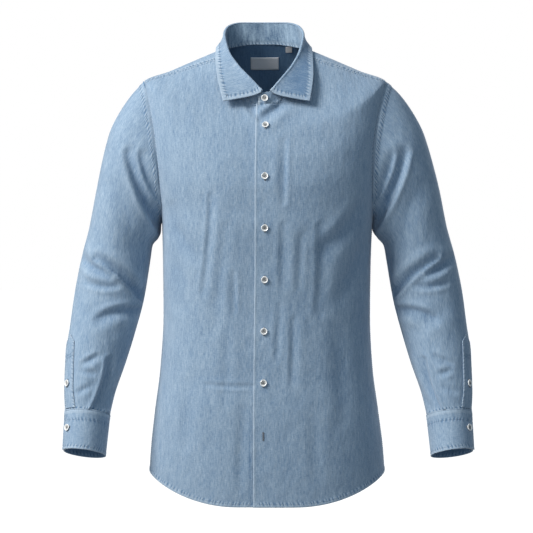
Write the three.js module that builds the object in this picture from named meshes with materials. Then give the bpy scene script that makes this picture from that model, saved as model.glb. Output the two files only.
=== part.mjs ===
import * as THREE from 'three';

// A long-sleeved denim shirt that keeps the hollow shape of wear, with no wearer in it.
// Millimetres, +Z up. The front faces -Y and +X is the wearer's left.
// The origin lies between the shoulders, level with the side of the neck, where a wearer holds the shirt up.

// Driving sizes of the cloth and its seams
const CLOTH = 1.6;
const DOUBLE_CLOTH = 2;
const TRIM_CLOTH = 1.2;
const SEAM_GAP = 0.3;
const HALF_GAP = SEAM_GAP / 2;
const LAP_GAP = 1;
const PLACKET_GAP = 0.6;
const LABEL_GAP = 0.7;
const CUFF_SEAM = 0.6;
const STAND_SEAM = 0.6;

// Driving sizes of the openings
const FRONT_LAP = 16.5;
const LAP_BLEND = 60;
const CUFF_LENGTH = 66;
const CUFF_LAP_ANGLE = 40;
const CUFF_EDGE_ANGLE = 76;
const CUFF_BUTTON_ANGLE = 47;
const CUFF_BUTTON_SHARE = 0.47;
const PLACKET_LENGTH = 122;
const PLACKET_HALF_WIDTH = 13;
const PLACKET_POINT = 12;
const BUTTON_WIDTH = 11.5;
const BUTTON_HEIGHT = 2.6;

// Sizes of the small labels inside the neck
const LABEL = { width: 49, height: 20, x: -3, z: -3 };
const TAG = { width: 11, height: 9, x: 39, z: 13 };

// Turns rows of sizes into records with the named columns
function table(names, rows) {
  return rows.map((row) => Object.fromEntries(names.map((name, index) => [name, row[index]])));
}

// Closed loops round the body from the hem to the neck seam. Each has its reach and height at the side, the
// centre front and the centre back. A loop with more squareness has fuller corners, shift moves a loop
// sideways, and opening is where the centre front line lies.
const BODY_LOOPS = table(
  ['loop', 'side', 'sideZ', 'front', 'frontZ', 'back', 'backZ', 'squareness', 'shift', 'opening'],
  [
    ['hem', 199, -711, 111, -761, 114, -772, 2.4, 1, -5],
    ['hip', 196, -670, 114, -695, 117, -700, 2.4, 0.8, -5.2],
    ['seat', 188.5, -607, 115, -615, 116, -616, 2.4, 0.2, -5.4],
    ['low waist', 179.5, -537, 112, -539, 111, -539, 2.4, 0, -4.8],
    ['waist', 174.8, -450, 111, -450, 108, -450, 2.4, 0.5, -3.8],
    ['ribs', 175.6, -369, 116, -369, 114, -365, 2.4, 0.6, -3],
    ['chest', 178.8, -282, 123, -290, 123, -280, 2.4, 1.2, -2.8],
    ['underarm', 189, -215, 123, -240, 127, -225, 2.4, -1.5, -2.8],
    ['breast', 197, -150, 117, -195, 126, -170, 2.4, -3.5, -2.6],
    ['shoulder blade', 203, -95, 106, -158, 119, -118, 2.35, -3.5, -2.2],
    ['shoulder', 205, -54, 97, -135, 104, -74, 2.3, -2.5, -1.8],
    ['mid shoulder', 159.5, -33.5, 88, -119, 84, -36, 2.2, -2.3, -1.4],
    ['near neck', 113.5, -13.5, 81, -107, 62, -6, 2.1, -2.3, -1],
    ['neck seam', 67, 6, 76, -97, 42, 18, 2, -3, -0.8],
  ],
);
const CHEST = 6;
const SHOULDER = 10;
const NECK = BODY_LOOPS.length - 1;

// The armhole is an oval on the body, from the chest loop to the shoulder loop
const ARMHOLE_ANGLE = 23.4;
const ARMHOLE_MIDDLE = (CHEST + SHOULDER) / 2;
const ARMHOLE_RISE = (SHOULDER - CHEST) / 2;
const YOKE_FRONT_END = 66;
const YOKE_BACK_END = 139;
const YOKE_NECK_ANGLE = -21;
const YOKE_BACK_CENTRE = 10.1;

// Rings round a sleeve from the armhole to the cuff seam: the outer and inner points seen from the front, how
// far it reaches to the front and back of its middle, how much higher the front lies than the middle, and how
// far the wearer's right and left sleeves hang out from those points.
const SLEEVE_RINGS = table(
  ['outerX', 'outerZ', 'innerX', 'innerZ', 'middle', 'front', 'back', 'lift', 'right', 'left'],
  [
    [205, -54, 179, -282, 1, 57, 59, 0, 1, -1],
    [239, -80, 181, -290, 2, 60, 62, 0, -1, -1],
    [264, -122, 182.5, -299, 4, 62, 63, 0, -3, -3.5],
    [281, -178, 183.5, -308, 6, 62, 62, 0, -3.5, -1.5],
    [292, -236, 187, -318, 8, 61, 60, 0, -2.5, 2.5],
    [302, -296, 195, -330, 9, 59, 57, 0, -1, 4.5],
    [316, -352, 199, -356, 8, 57, 55, 2, -1, 5.5],
    [327, -412, 209, -420, 1, 54, 53, 5, -1, 6],
    [333, -464, 222, -472, -12, 51, 50, 8, -1, 5.5],
    [338.5, -517, 237, -525, -26, 48, 46, 10, -0.5, 5.5],
    [339, -571, 254, -578, -41, 45, 43, 11, 0, 6],
    [336.5, -609, 262, -614, -51, 41, 40, 11, 0, 6],
  ],
);
const SLEEVE_END = SLEEVE_RINGS.length - 1;
const CUFF_DROP = { outerX: 1.5, outerZ: -63, innerX: 6, innerZ: -66, middle: -18 };
const CUFF_BLEND_ANGLE = 70;
const CUFF_EASE = 1;

// The two sleeves, which hang a little apart from a true mirror image
const SIDES = [
  { side: 'right', sign: -1 },
  { side: 'left', sign: 1 },
];

// Stations along the collar from a front end to the centre back: the roll line at the top, the free edge of the
// leaf, and the place on the neck seam under them.
const COLLAR_STATIONS = table(
  ['neckAngle', 'shift', 'rollX', 'rollY', 'rollZ', 'edgeX', 'edgeY', 'edgeZ'],
  [
    [-84, 0, 8, -79, -76, 72, -84, -92],
    [-66, -1, 26, -69, -55, 77, -71.5, -68],
    [-48, -2.5, 45, -53, -32, 81, -54, -42],
    [-30, -4, 60, -34, -5, 82, -32, -16],
    [-6, -4.5, 66.5, -6, 26, 81, -3, 6],
    [24, -5, 60, 20, 43, 72, 28, 12],
    [56, -5, 38, 38, 51.3, 46, 52, 14],
    [90, -5, 0, 44, 52.1, 0, 62, 14],
  ],
);
const ROLL_RADIUS = 2.4;
const ROLL_STEP = 0.01;
const STAND_LAP_ANGLE = 15;
const STAND_LAP = 0.2;
const STAND_FRONT_HEIGHT = 20;
const STAND_LEAN = 2;
const STAND_BUTTON = { up: 0.5, along: 1.08 };
const STAND_ROUNDING = 0.4;
const STAND_TUCK_BLEND = 0.35;
const STAND_TURN = 0.85;
const LEAF_FALL = 0.45;
const LEAF_STEP = 0.004;
const LEAF_LIFT = 0.2;

// Heights of the front buttons under the collar one
const FRONT_BUTTONS = { first: -133.8, pitch: -84.6, count: 6 };

// Largest folds, each a soft trough from one point to another as seen from its face. A minus depth is a ridge.
// Body folds take x as it is, and sleeve folds take x outwards on both sides. FOLD_END is the share of its
// depth that a fold keeps at its ends. Sleeve folds fade out at the armhole over FOLD_FADE of a ring and at
// the cuff over WRIST_FADE.
const FOLD_COLUMNS = ['face', 'x1', 'z1', 'x2', 'z2', 'width', 'depth'];
const BODY_FOLDS = table(FOLD_COLUMNS, [
  ['front', -98, -250, -106, -410, 10, 3],
  ['front', -52, -360, -60, -560, 12, 3],
  ['front', 78, -380, 86, -570, 12, 3.5],
  ['front', 150, -285, 98, -370, 11, 4],
  ['front', -150, -285, -118, -360, 10, 3],
  ['front', -82, -573, -24, -567, 6, 2.5],
  ['front', 34, -98, 2, -116, 12, 2],
  ['back', -120, -240, -70, -430, 14, 4],
  ['back', 112, -250, 74, -450, 13, 4.5],
  ['back', -20, -330, -34, -520, 12, 3],
  ['back', 40, -420, 52, -610, 14, 3.5],
]);
const SLEEVE_FOLDS = table(FOLD_COLUMNS, [
  ['front', 238, -165, 190, -288, 9, 6],
  ['front', 214, -192, 184, -244, 7, 4],
  ['front', 292, -350, 222, -420, 9, 6],
  ['front', 312, -352, 262, -386, 7, 4],
  ['front', 298, -398, 248, -402, 7, 3.5],
  ['front', 286, -450, 226, -442, 8, 3.5],
  ['back', 246, -170, 200, -290, 11, 6],
  ['back', 222, -205, 190, -262, 8, 4],
  ['back', 306, -372, 240, -352, 11, 4],
  ['back', 300, -420, 238, -448, 10, 4.5],
]);
const CUFF_PLEATS = table(FOLD_COLUMNS, [
  ['front', 294, -614, 272, -526, 4.5, 4],
  ['front', 282, -614, 256, -554, 4, 3],
]);
const FOLD_END = 0.35;
const FOLD_FADE = 0.8;
const WRIST_FADE = 0.45;

// Colours of the cloth and trim
const FINISHES = {
  cloth: { color: 0x86a3bf, roughness: 0.9, metalness: 0 },
  button: { color: 0xe9e7e1, roughness: 0.35, metalness: 0 },
  label: { color: 0x85878a, roughness: 0.6, metalness: 0 },
  tag: { color: 0xe6e6e6, roughness: 0.8, metalness: 0 },
};

// A small step that surfaces are differenced over, and the turn at which a loop reaches its end's height
const STEP = 0.002;
const END_TURN = 80;
const degrees = THREE.MathUtils.degToRad;
const mix = THREE.MathUtils.lerp;
const smooth = (value) => THREE.MathUtils.smoothstep(value, 0, 1);
const signedPower = (value, power) => Math.sign(value) * Math.abs(value) ** power;

// Reads one column between its rows, along a curve that never overshoots
function column(rows, name, place) {
  const last = rows.length - 1;
  const held = THREE.MathUtils.clamp(place, 0, last);
  const row = Math.min(Math.floor(held), last - 1);
  const rise = (index) => rows[index + 1][name] - rows[index][name];
  const slope = (index) => {
    if (index === 0) return rise(0);
    if (index === last) return rise(last - 1);
    const before = rise(index - 1);
    const after = rise(index);
    return before * after > 0 ? (2 * before * after) / (before + after) : 0;
  };
  const t = held - row;
  const curve = rows[row][name] + rise(row) * t * t * (3 - 2 * t);
  return curve + slope(row) * t * (1 - t) ** 2 - slope(row + 1) * t * t * (1 - t);
}

// How deep the listed folds are at a point, where facing is -1 on the front and 1 on the back
function foldDepth(folds, x, z, facing) {
  let depth = 0;
  for (const fold of folds) {
    const side = fold.face === 'front' ? -1 : 1;
    const shown = smooth(facing * side * 2);
    const runX = fold.x2 - fold.x1;
    const runZ = fold.z2 - fold.z1;
    const along = ((x - fold.x1) * runX + (z - fold.z1) * runZ) / (runX * runX + runZ * runZ);
    const held = THREE.MathUtils.clamp(along, 0, 1);
    const away = Math.hypot(x - fold.x1 - runX * held, z - fold.z1 - runZ * held);
    const taper = mix(FOLD_END, 1, Math.sin(Math.PI * (held * 0.8 + 0.1)));
    depth += shown * taper * fold.depth * Math.exp(-((away / fold.width) ** 2));
  }
  return depth;
}

// The unit normal of a surface of two places, pointing the way that outwards gives
function surfaceNormal(surface, a, b, outwards) {
  const alongA = surface(a + STEP, b).sub(surface(a - STEP, b));
  const alongB = surface(a, b + STEP).sub(surface(a, b - STEP));
  const normal = alongA.cross(alongB).normalize();
  return normal.dot(outwards) < 0 ? normal.negate() : normal;
}

// A smooth point on the body, by its angle from the wearer's left side and its level among the loops
function plainBody(angle, level) {
  const across = Math.cos(angle);
  const along = Math.sin(angle);
  const end = along < 0 ? 'front' : 'back';
  const power = 2 / column(BODY_LOOPS, 'squareness', level);
  const x = column(BODY_LOOPS, 'shift', level) + column(BODY_LOOPS, 'side', level) * signedPower(across, power);
  const y = column(BODY_LOOPS, end, level) * signedPower(along, power);
  const sideZ = column(BODY_LOOPS, 'sideZ', level);
  const endZ = column(BODY_LOOPS, `${end}Z`, level);
  const turn = Math.asin(Math.min(Math.abs(along), 1)) / degrees(END_TURN);
  return new THREE.Vector3(x, y, mix(sideZ, endZ, smooth(turn)));
}

function plainBodyNormal(angle, level) {
  const middle = new THREE.Vector3(0, 0, column(BODY_LOOPS, 'sideZ', Math.min(level, CHEST)) - CLOTH);
  return surfaceNormal(plainBody, angle, level, plainBody(angle, level).sub(middle));
}

function body(angle, level) {
  const point = plainBody(angle, level);
  const depth = foldDepth(BODY_FOLDS, point.x, point.z, Math.sin(angle));
  return point.addScaledVector(plainBodyNormal(angle, level), -depth);
}

function bodyNormal(angle, level) {
  return surfaceNormal(body, angle, level, plainBodyNormal(angle, level));
}

// A place on the body, moved out along its normal
function onBody(angle, level, lift = 0) {
  const normal = bodyNormal(angle, level);
  return { point: body(angle, level).addScaledVector(normal, lift), normal };
}

// The angle on the front of the body at which a loop passes a given x
function frontAngle(x, level) {
  const squareness = column(BODY_LOOPS, 'squareness', level);
  const share = (x - column(BODY_LOOPS, 'shift', level)) / column(BODY_LOOPS, 'side', level);
  return -Math.PI / 2 + Math.asin(signedPower(share, squareness / 2));
}

const HALVINGS = 30;

// The level at which a vertical line on the front or back passes a given height
function levelAt(angleOf, z) {
  let low = 0;
  let high = NECK;
  for (let halving = 0; halving < HALVINGS; halving += 1) {
    const level = (low + high) / 2;
    if (plainBody(angleOf(level), level).z < z) low = level;
    else high = level;
  }
  return (low + high) / 2;
}

// The armhole's edge on the wearer's left, by its turn from the front through the top to the back
function armhole(turn) {
  return {
    angle: -degrees(ARMHOLE_ANGLE) * Math.cos(turn),
    level: ARMHOLE_MIDDLE + ARMHOLE_RISE * Math.sin(turn),
  };
}

const mirrorAngle = (angle, sign) => (sign > 0 ? angle : Math.PI - angle);

// The volume inside a closed set of triangles, below zero when they face inwards
function enclosedVolume(points, indices) {
  let volume = 0;
  for (let corner = 0; corner < indices.length; corner += 3) {
    const [a, b, c] = indices.slice(corner, corner + 3).map((index) => points[index]);
    volume += a.dot(b.clone().cross(c)) / 6;
  }
  return volume;
}

// Builds one closed wall between an outer surface and the same surface moved in
function wall(rows, columns, locate, thickness, closed = false) {
  const outer = [];
  const inner = [];
  for (const row of rows) {
    for (const place of columns) {
      const { point, normal } = locate(row, place);
      outer.push(point);
      inner.push(point.clone().addScaledVector(normal, -thickness));
    }
  }
  const width = columns.length;
  const spans = closed ? width : width - 1;
  const at = (row, place) => row * width + (place % width);
  const points = [...outer, ...inner];
  const shift = outer.length;
  const indices = [];
  const quad = (a, b, c, d) => indices.push(a, b, c, a, c, d);
  for (let row = 0; row + 1 < rows.length; row += 1) {
    for (let place = 0; place < spans; place += 1) {
      const corners = [at(row, place), at(row, place + 1), at(row + 1, place + 1), at(row + 1, place)];
      const [a, b, c, d] = corners;
      quad(a, b, c, d);
      quad(a + shift, d + shift, c + shift, b + shift);
    }
  }
  const last = rows.length - 1;
  for (let place = 0; place < spans; place += 1) {
    quad(at(0, place), at(0, place) + shift, at(0, place + 1) + shift, at(0, place + 1));
    quad(at(last, place), at(last, place + 1), at(last, place + 1) + shift, at(last, place) + shift);
  }
  for (let row = 0; row < last && !closed; row += 1) {
    quad(at(row, 0), at(row + 1, 0), at(row + 1, 0) + shift, at(row, 0) + shift);
    quad(at(row, spans), at(row, spans) + shift, at(row + 1, spans) + shift, at(row + 1, spans));
  }
  if (enclosedVolume(points, indices) < 0) indices.reverse();
  const geometry = new THREE.BufferGeometry();
  geometry.setAttribute('position', new THREE.Float32BufferAttribute(points.flatMap((p) => p.toArray()), 3));
  geometry.setIndex(indices);
  geometry.computeVertexNormals();
  return geometry;
}

// Even steps from one value to another, ends included
function steps(from, to, count) {
  return Array.from({ length: count + 1 }, (_, index) => mix(from, to, index / count));
}

function mesh(name, geometry, finish) {
  const piece = new THREE.Mesh(geometry, new THREE.MeshStandardMaterial(FINISHES[finish]));
  piece.name = name;
  return piece;
}

// How far up a body panel each of its rows lies: hem to underarm, armhole, then yoke seam. The sizes after
// them are rough lengths of the cloth, which turn a gap into a share of a panel or a loop.
const ROW_CHEST = 1;
const ROW_YOKE = 2;
const ROW_NECK = 3;
const ARMHOLE_ROWS = [0.03, 0.09, 0.17, 0.28, 0.41, 0.56, 0.72, 0.87];
const YOKE_ROWS = 6;
const LOWER_ROWS = 12;
const FRONT_COLUMNS = 12;
const BACK_COLUMNS = 22;
const YOKE_ARMHOLE_COLUMNS = 6;
const YOKE_HALF_COLUMNS = 16;
const YOKE_ARMHOLE_SHARE = YOKE_ARMHOLE_COLUMNS / YOKE_HALF_COLUMNS;
const YOKE_FRONT_HEIGHT = -146;
const PANEL_WIDTH = 180;
const ARMHOLE_HALF = 230;
const YOKE_HALF_LENGTH = 210;
const YOKE_DEPTH = 110;
const LOOP_RISE = 40;
const UPPER_ROWS = ARMHOLE_ROWS.map((share) => ROW_CHEST + share);
const PANEL_ROWS = [...steps(0, ROW_CHEST, LOWER_ROWS), ...UPPER_ROWS, ROW_YOKE];
const FRONT_ROWS = [...PANEL_ROWS, ...steps(ROW_YOKE, ROW_NECK, YOKE_ROWS).slice(1)];

// The edge of a body panel away from its middle, as an angle and a level on the wearer's left
function panelEdge(row, end) {
  if (row <= ROW_CHEST) return { angle: 0, level: CHEST * row };
  if (row <= ROW_YOKE) return armhole(mix(-Math.PI / 2, end, row - ROW_CHEST));
  const seam = armhole(end);
  const share = row - ROW_YOKE;
  return { angle: mix(seam.angle, degrees(YOKE_NECK_ANGLE), share), level: mix(seam.level, NECK, share) };
}

function frontPanel(sign) {
  const end = degrees(YOKE_FRONT_END);
  const levelAtYoke = levelAt((level) => frontAngle(0, level), YOKE_FRONT_HEIGHT);
  const lapped = sign < 0;
  const locate = (row, across) => {
    const edge = panelEdge(row, end);
    let centre = CHEST * Math.min(row, 1);
    if (row > ROW_CHEST) centre = mix(CHEST, levelAtYoke, Math.min(row, ROW_YOKE) - ROW_CHEST);
    if (row > ROW_YOKE) centre = mix(levelAtYoke, NECK, row - ROW_YOKE);
    const share = across * (1 - (row > ROW_YOKE ? SEAM_GAP : HALF_GAP) / PANEL_WIDTH);
    const level = mix(centre, edge.level, share);
    const line = column(BODY_LOOPS, 'opening', level);
    const start = frontAngle(line - sign * FRONT_LAP, level);
    const side = mirrorAngle(edge.angle, sign) - (sign < 0 ? 2 * Math.PI : 0);
    const angle = mix(start, side, share);
    const fromCentre = (plainBody(angle, level).x - line) * sign;
    const tuck = lapped ? 1 - smooth((fromCentre - FRONT_LAP) / LAP_BLEND) : 0;
    return onBody(angle, Math.min(level, NECK - HALF_GAP / LOOP_RISE), -tuck * (CLOTH + LAP_GAP));
  };
  return wall(FRONT_ROWS, steps(0, 1, FRONT_COLUMNS), locate, CLOTH);
}

// The level of the yoke's back seam at an angle on the back
function backSeamLevel(angle) {
  const seam = armhole(degrees(YOKE_BACK_END));
  return mix(seam.level, YOKE_BACK_CENTRE, smooth((angle - seam.angle) / (Math.PI / 2 - seam.angle)));
}

function backPanel() {
  const end = degrees(YOKE_BACK_END) - 2 * Math.PI;
  const locate = (row, across) => {
    const held = Math.min(row, ROW_YOKE - HALF_GAP / ARMHOLE_HALF);
    const edge = panelEdge(held, end);
    const top = mix(CHEST, YOKE_BACK_CENTRE, held - ROW_CHEST);
    const centre = held <= ROW_CHEST ? CHEST * held : top;
    const outwards = Math.abs(across) * (1 - HALF_GAP / PANEL_WIDTH);
    const angle = mix(Math.PI / 2, edge.angle, outwards);
    const level = mix(edge.level, centre, smooth((angle - edge.angle) / (Math.PI / 2 - edge.angle)));
    return onBody(mirrorAngle(angle, across < 0 ? -1 : 1), level);
  };
  return wall(PANEL_ROWS, steps(-1, 1, BACK_COLUMNS), locate, CLOTH);
}

// The yoke lies over both shoulders, from the front seams to the seam across the back
function yokePanel() {
  const from = degrees(YOKE_FRONT_END);
  const to = degrees(YOKE_BACK_END);
  const locate = (towardsNeck, across) => {
    const share = 1 - Math.abs(across) * (1 - SEAM_GAP / YOKE_HALF_LENGTH);
    const alongArmhole = Math.min(share / YOKE_ARMHOLE_SHARE, 1);
    const outer = armhole(mix(from, to, alongArmhole));
    if (share > YOKE_ARMHOLE_SHARE) {
      const rest = (share - YOKE_ARMHOLE_SHARE) / (1 - YOKE_ARMHOLE_SHARE);
      outer.angle = mix(outer.angle, Math.PI / 2, rest);
      outer.level = backSeamLevel(outer.angle);
    }
    const inner = { angle: mix(degrees(YOKE_NECK_ANGLE), Math.PI / 2, share), level: NECK };
    const held = mix(HALF_GAP / YOKE_DEPTH, 1 - HALF_GAP / YOKE_DEPTH, towardsNeck);
    const angle = mix(outer.angle, inner.angle, held);
    return onBody(mirrorAngle(angle, across < 0 ? -1 : 1), mix(outer.level, inner.level, held));
  };
  return wall(steps(0, 1, YOKE_ROWS), steps(-1, 1, 2 * YOKE_HALF_COLUMNS), locate, CLOTH);
}

// A sleeve's middle line and reach at a place among its rings, for one side
function sleeveRing(ring, sides) {
  const read = (name) => column(SLEEVE_RINGS, name, ring);
  const reach = read(sides.side);
  return {
    outer: new THREE.Vector3((read('outerX') + reach) * sides.sign, read('middle'), read('outerZ')),
    inner: new THREE.Vector3((read('innerX') + reach) * sides.sign, read('middle'), read('innerZ')),
    front: read('front'),
    back: read('back'),
    lift: read('lift'),
  };
}

function ringPoint(ring, turn) {
  const forwards = Math.cos(turn);
  const outwards = (Math.sin(turn) + 1) / 2;
  const point = ring.inner.clone().lerp(ring.outer, outwards);
  point.y -= forwards * (forwards > 0 ? ring.front : ring.back);
  point.z += forwards * ring.lift;
  return point;
}

// The sleeve's first edge follows the armhole, a gap away from the body panels and a little more under the arm
const HEAD_TILT = 0.2;
const UNDERARM_EASE = 1;
const UNDERARM_FADE = 4;
const HEAD_BLEND = 2.4;

function sleeveHead(turn, sides) {
  const { angle, level } = armhole(turn);
  const held = mirrorAngle(angle, sides.sign);
  const point = plainBody(held, level);
  const normal = plainBodyNormal(held, level);
  const next = armhole(turn + STEP);
  const run = plainBody(mirrorAngle(next.angle, sides.sign), next.level).sub(point);
  const inwards = run.cross(normal).normalize();
  const across = inwards.x * sides.sign;
  const down = inwards.z * Math.sign(-Math.sin(turn));
  if (across + down * HEAD_TILT < 0) inwards.negate();
  point.addScaledVector(inwards, SEAM_GAP);
  point.x += sides.sign * UNDERARM_EASE * Math.max(0, -Math.sin(turn)) ** UNDERARM_FADE;
  return { point, inwards };
}

function plainSleeve(turn, place, sides) {
  const ring = ringPoint(sleeveRing(place, sides), turn);
  const share = smooth(place / HEAD_BLEND);
  return share >= 1 ? ring : sleeveHead(turn, sides).point.lerp(ring, share);
}

function sleeveMiddle(place, sides) {
  const ring = sleeveRing(place, sides);
  return ring.outer.lerp(ring.inner, 0.5);
}

function plainSleeveNormal(turn, place, sides) {
  const surface = (a, b) => plainSleeve(a, b, sides);
  const held = Math.max(place, STEP);
  return surfaceNormal(surface, turn, held, plainSleeve(turn, held, sides).sub(sleeveMiddle(held, sides)));
}

function sleeve(turn, place, sides) {
  const point = plainSleeve(turn, place, sides);
  const outwards = point.x * sides.sign;
  const facing = -Math.cos(turn);
  const folds = foldDepth([...SLEEVE_FOLDS, ...CUFF_PLEATS], outwards, point.z, facing);
  const fade = smooth(place / FOLD_FADE) * smooth((SLEEVE_END - place) / WRIST_FADE);
  return point.addScaledVector(plainSleeveNormal(turn, place, sides), -folds * fade);
}

function onSleeve(turn, place, sides, lift = 0) {
  const surface = (a, b) => sleeve(a, b, sides);
  const held = Math.max(place, STEP);
  const normal = surfaceNormal(surface, turn, held, plainSleeveNormal(turn, held, sides));
  if (place === 0) {
    const { inwards } = sleeveHead(turn, sides);
    normal.addScaledVector(inwards, -Math.max(0, normal.dot(inwards))).normalize();
  }
  return { point: sleeve(turn, place, sides).addScaledVector(normal, lift), normal };
}

// Places among the rings that have rows of points, closer where the sleeve bends most
const CAP_ROWS = [0, 0.3, 0.65, 1, 1.4, 1.9, 2.4, 3, 3.6, 4.3, 5];
const ELBOW_ROWS = [5.5, 6, 6.4, 6.8, 7.2, 7.7, 8.3];
const WRIST_ROWS = [9, 9.6, 10.2, 10.6, SLEEVE_END];

function sleevePanel(sides) {
  const bottom = -Math.PI / 2;
  const from = degrees(YOKE_FRONT_END);
  const to = degrees(YOKE_BACK_END);
  const turns = [
    bottom,
    ...ARMHOLE_ROWS.map((share) => mix(bottom, from, share)),
    ...steps(from, to, YOKE_ARMHOLE_COLUMNS),
    ...ARMHOLE_ROWS.map((share) => mix(bottom + 2 * Math.PI, to, share)).reverse(),
  ];
  const rows = [...CAP_ROWS, ...ELBOW_ROWS, ...WRIST_ROWS];
  return wall(rows, turns, (row, turn) => onSleeve(turn, row, sides), CLOTH, true);
}

// A cuff goes on from the sleeve's end along the forearm, as a band that laps over itself
function cuffPoint(turn, along, sides, lift) {
  const ring = sleeveRing(SLEEVE_END, sides);
  const start = CUFF_SEAM / CUFF_LENGTH;
  const share = mix(start, 1, along);
  const drop = (point, x, z) => {
    const moved = point.clone();
    moved.x += sides.sign * x * share;
    moved.y += CUFF_DROP.middle * share;
    moved.z += z * share;
    return moved;
  };
  const held = {
    ...ring,
    outer: drop(ring.outer, CUFF_DROP.outerX, CUFF_DROP.outerZ),
    inner: drop(ring.inner, CUFF_DROP.innerX, CUFF_DROP.innerZ),
  };
  const middle = held.outer.clone().lerp(held.inner, 0.5);
  const point = ringPoint(held, turn);
  const outwards = point.clone().sub(middle).normalize();
  return { point: point.addScaledVector(outwards, lift + CUFF_EASE), normal: outwards };
}

const CUFF_ROWS = 3;
const CUFF_COLUMNS = 34;

function cuffBand(sides) {
  const edge = degrees(CUFF_EDGE_ANGLE);
  const lap = degrees(CUFF_LAP_ANGLE);
  const fullTurn = 2 * Math.PI;
  const locate = (along, turn) => {
    const sinceStart = turn - (edge - lap);
    const tuck = 1 - smooth((sinceStart - lap) / degrees(CUFF_BLEND_ANGLE));
    return cuffPoint(turn, along, sides, -tuck * (DOUBLE_CLOTH + SEAM_GAP));
  };
  return wall(steps(0, 1, CUFF_ROWS), steps(edge - lap, edge + fullTurn, CUFF_COLUMNS), locate, DOUBLE_CLOTH);
}

// The pointed strip over the sleeve's slit, laid on the sleeve's own points
const PLACKET = { topTurn: 60, bottomTurn: 44, topRing: 8.38, bottomRing: 10.95, button: 0.59, tip: 0.06 };
const PLACKET_ROWS = [0, 0.05, 0.1, 0.2, 0.3, 0.4, 0.5, 0.6, 0.7, 0.8, 0.9, 1];
const PLACKET_COLUMNS = 4;

function placketStrip(sides) {
  const locate = (along, across) => {
    const fromTip = along * PLACKET_LENGTH;
    const half = PLACKET_HALF_WIDTH * Math.min(1, PLACKET.tip + fromTip / PLACKET_POINT);
    const ring = mix(PLACKET.topRing, PLACKET.bottomRing, along);
    const radius = column(SLEEVE_RINGS, 'front', ring);
    const turn = degrees(mix(PLACKET.topTurn, PLACKET.bottomTurn, along)) + (across * half) / radius;
    return onSleeve(turn, ring, sides, PLACKET_GAP + TRIM_CLOTH);
  };
  return wall(PLACKET_ROWS, steps(-1, 1, PLACKET_COLUMNS), locate, TRIM_CLOTH);
}

// The collar's stations read along a half, from 0 at a front end to 1 at the centre back
function collarStation(share) {
  const place = share * (COLLAR_STATIONS.length - 1);
  const read = (name) => column(COLLAR_STATIONS, name, place);
  return {
    neckAngle: degrees(read('neckAngle')),
    shift: read('shift'),
    roll: new THREE.Vector3(read('rollX'), read('rollY'), read('rollZ')),
    edge: new THREE.Vector3(read('edgeX'), read('edgeY'), read('edgeZ')),
  };
}

function mirrored(vector, sign, shift) {
  return new THREE.Vector3(vector.x * sign + shift, vector.y, vector.z);
}

// Places along the whole collar, from -1 at the wearer's right front end to 1 at the left one
function collarFrame(along) {
  const sign = along < 0 ? -1 : 1;
  const share = 1 - Math.abs(along);
  const station = collarStation(share);
  const near = collarStation(Math.max(share - ROLL_STEP, 0)).roll;
  const far = collarStation(Math.min(share + ROLL_STEP, 1)).roll;
  const run = far.sub(near).normalize();
  const outwards = new THREE.Vector3(run.y, -run.x, 0).normalize();
  const rise = run.clone().cross(outwards).negate();
  outwards.x *= sign;
  rise.x *= sign;
  return {
    roll: mirrored(station.roll, sign, station.shift),
    edge: mirrored(station.edge, sign, station.shift),
    neckAngle: mirrorAngle(station.neckAngle, sign),
    outwards,
    rise,
  };
}

// The stand rises from the neck seam to the roll line, and its left end laps over its right one
function onStand(up, along, lift = 0) {
  const held = THREE.MathUtils.clamp(along, -1, 1);
  const frame = collarFrame(held);
  const past = Math.abs(along) - Math.abs(held);
  const sign = along < 0 ? -1 : 1;
  const lapped = past / STAND_LAP;
  const angle = frame.neckAngle - sign * lapped * degrees(STAND_LAP_ANGLE);
  const base = plainBody(angle, NECK);
  base.z += STAND_SEAM;
  const top = frame.roll.clone();
  if (past > 0) {
    top.set(base.x, base.y - STAND_LEAN, base.z + STAND_FRONT_HEIGHT * (1 - STAND_ROUNDING * lapped ** 2));
  }
  const point = base.lerp(top, up);
  const tuck = 1 - smooth((along + 1) / STAND_TUCK_BLEND);
  const ahead = smooth((Math.abs(along) - STAND_TURN) / (1 - STAND_TURN));
  const round = new THREE.Vector3(Math.cos(angle), Math.sin(angle), STAND_LEAN / STAND_FRONT_HEIGHT);
  const normal = frame.outwards.clone().lerp(round, ahead).normalize();
  return { point: point.addScaledVector(normal, lift - tuck * (DOUBLE_CLOTH + SEAM_GAP)), normal };
}

const STAND_ROWS = [0, 0.5, 1];
const STAND_LAP_COLUMNS = [0.3, 0.6, 0.85, 1];
const STAND_COLUMNS = 34;

function collarStand() {
  const lap = STAND_LAP_COLUMNS.map((share) => 1 + share * STAND_LAP);
  const columns = [...lap.map((place) => -place).reverse(), ...steps(-1, 1, STAND_COLUMNS), ...lap];
  return wall(STAND_ROWS, columns, onStand, DOUBLE_CLOTH);
}

// The leaf folds over the roll line and falls to its free edge
const LEAF_ROWS = 8;
const LEAF_COLUMNS = 32;
const LEAF_ENDS = 1 - LEAF_STEP;

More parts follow.
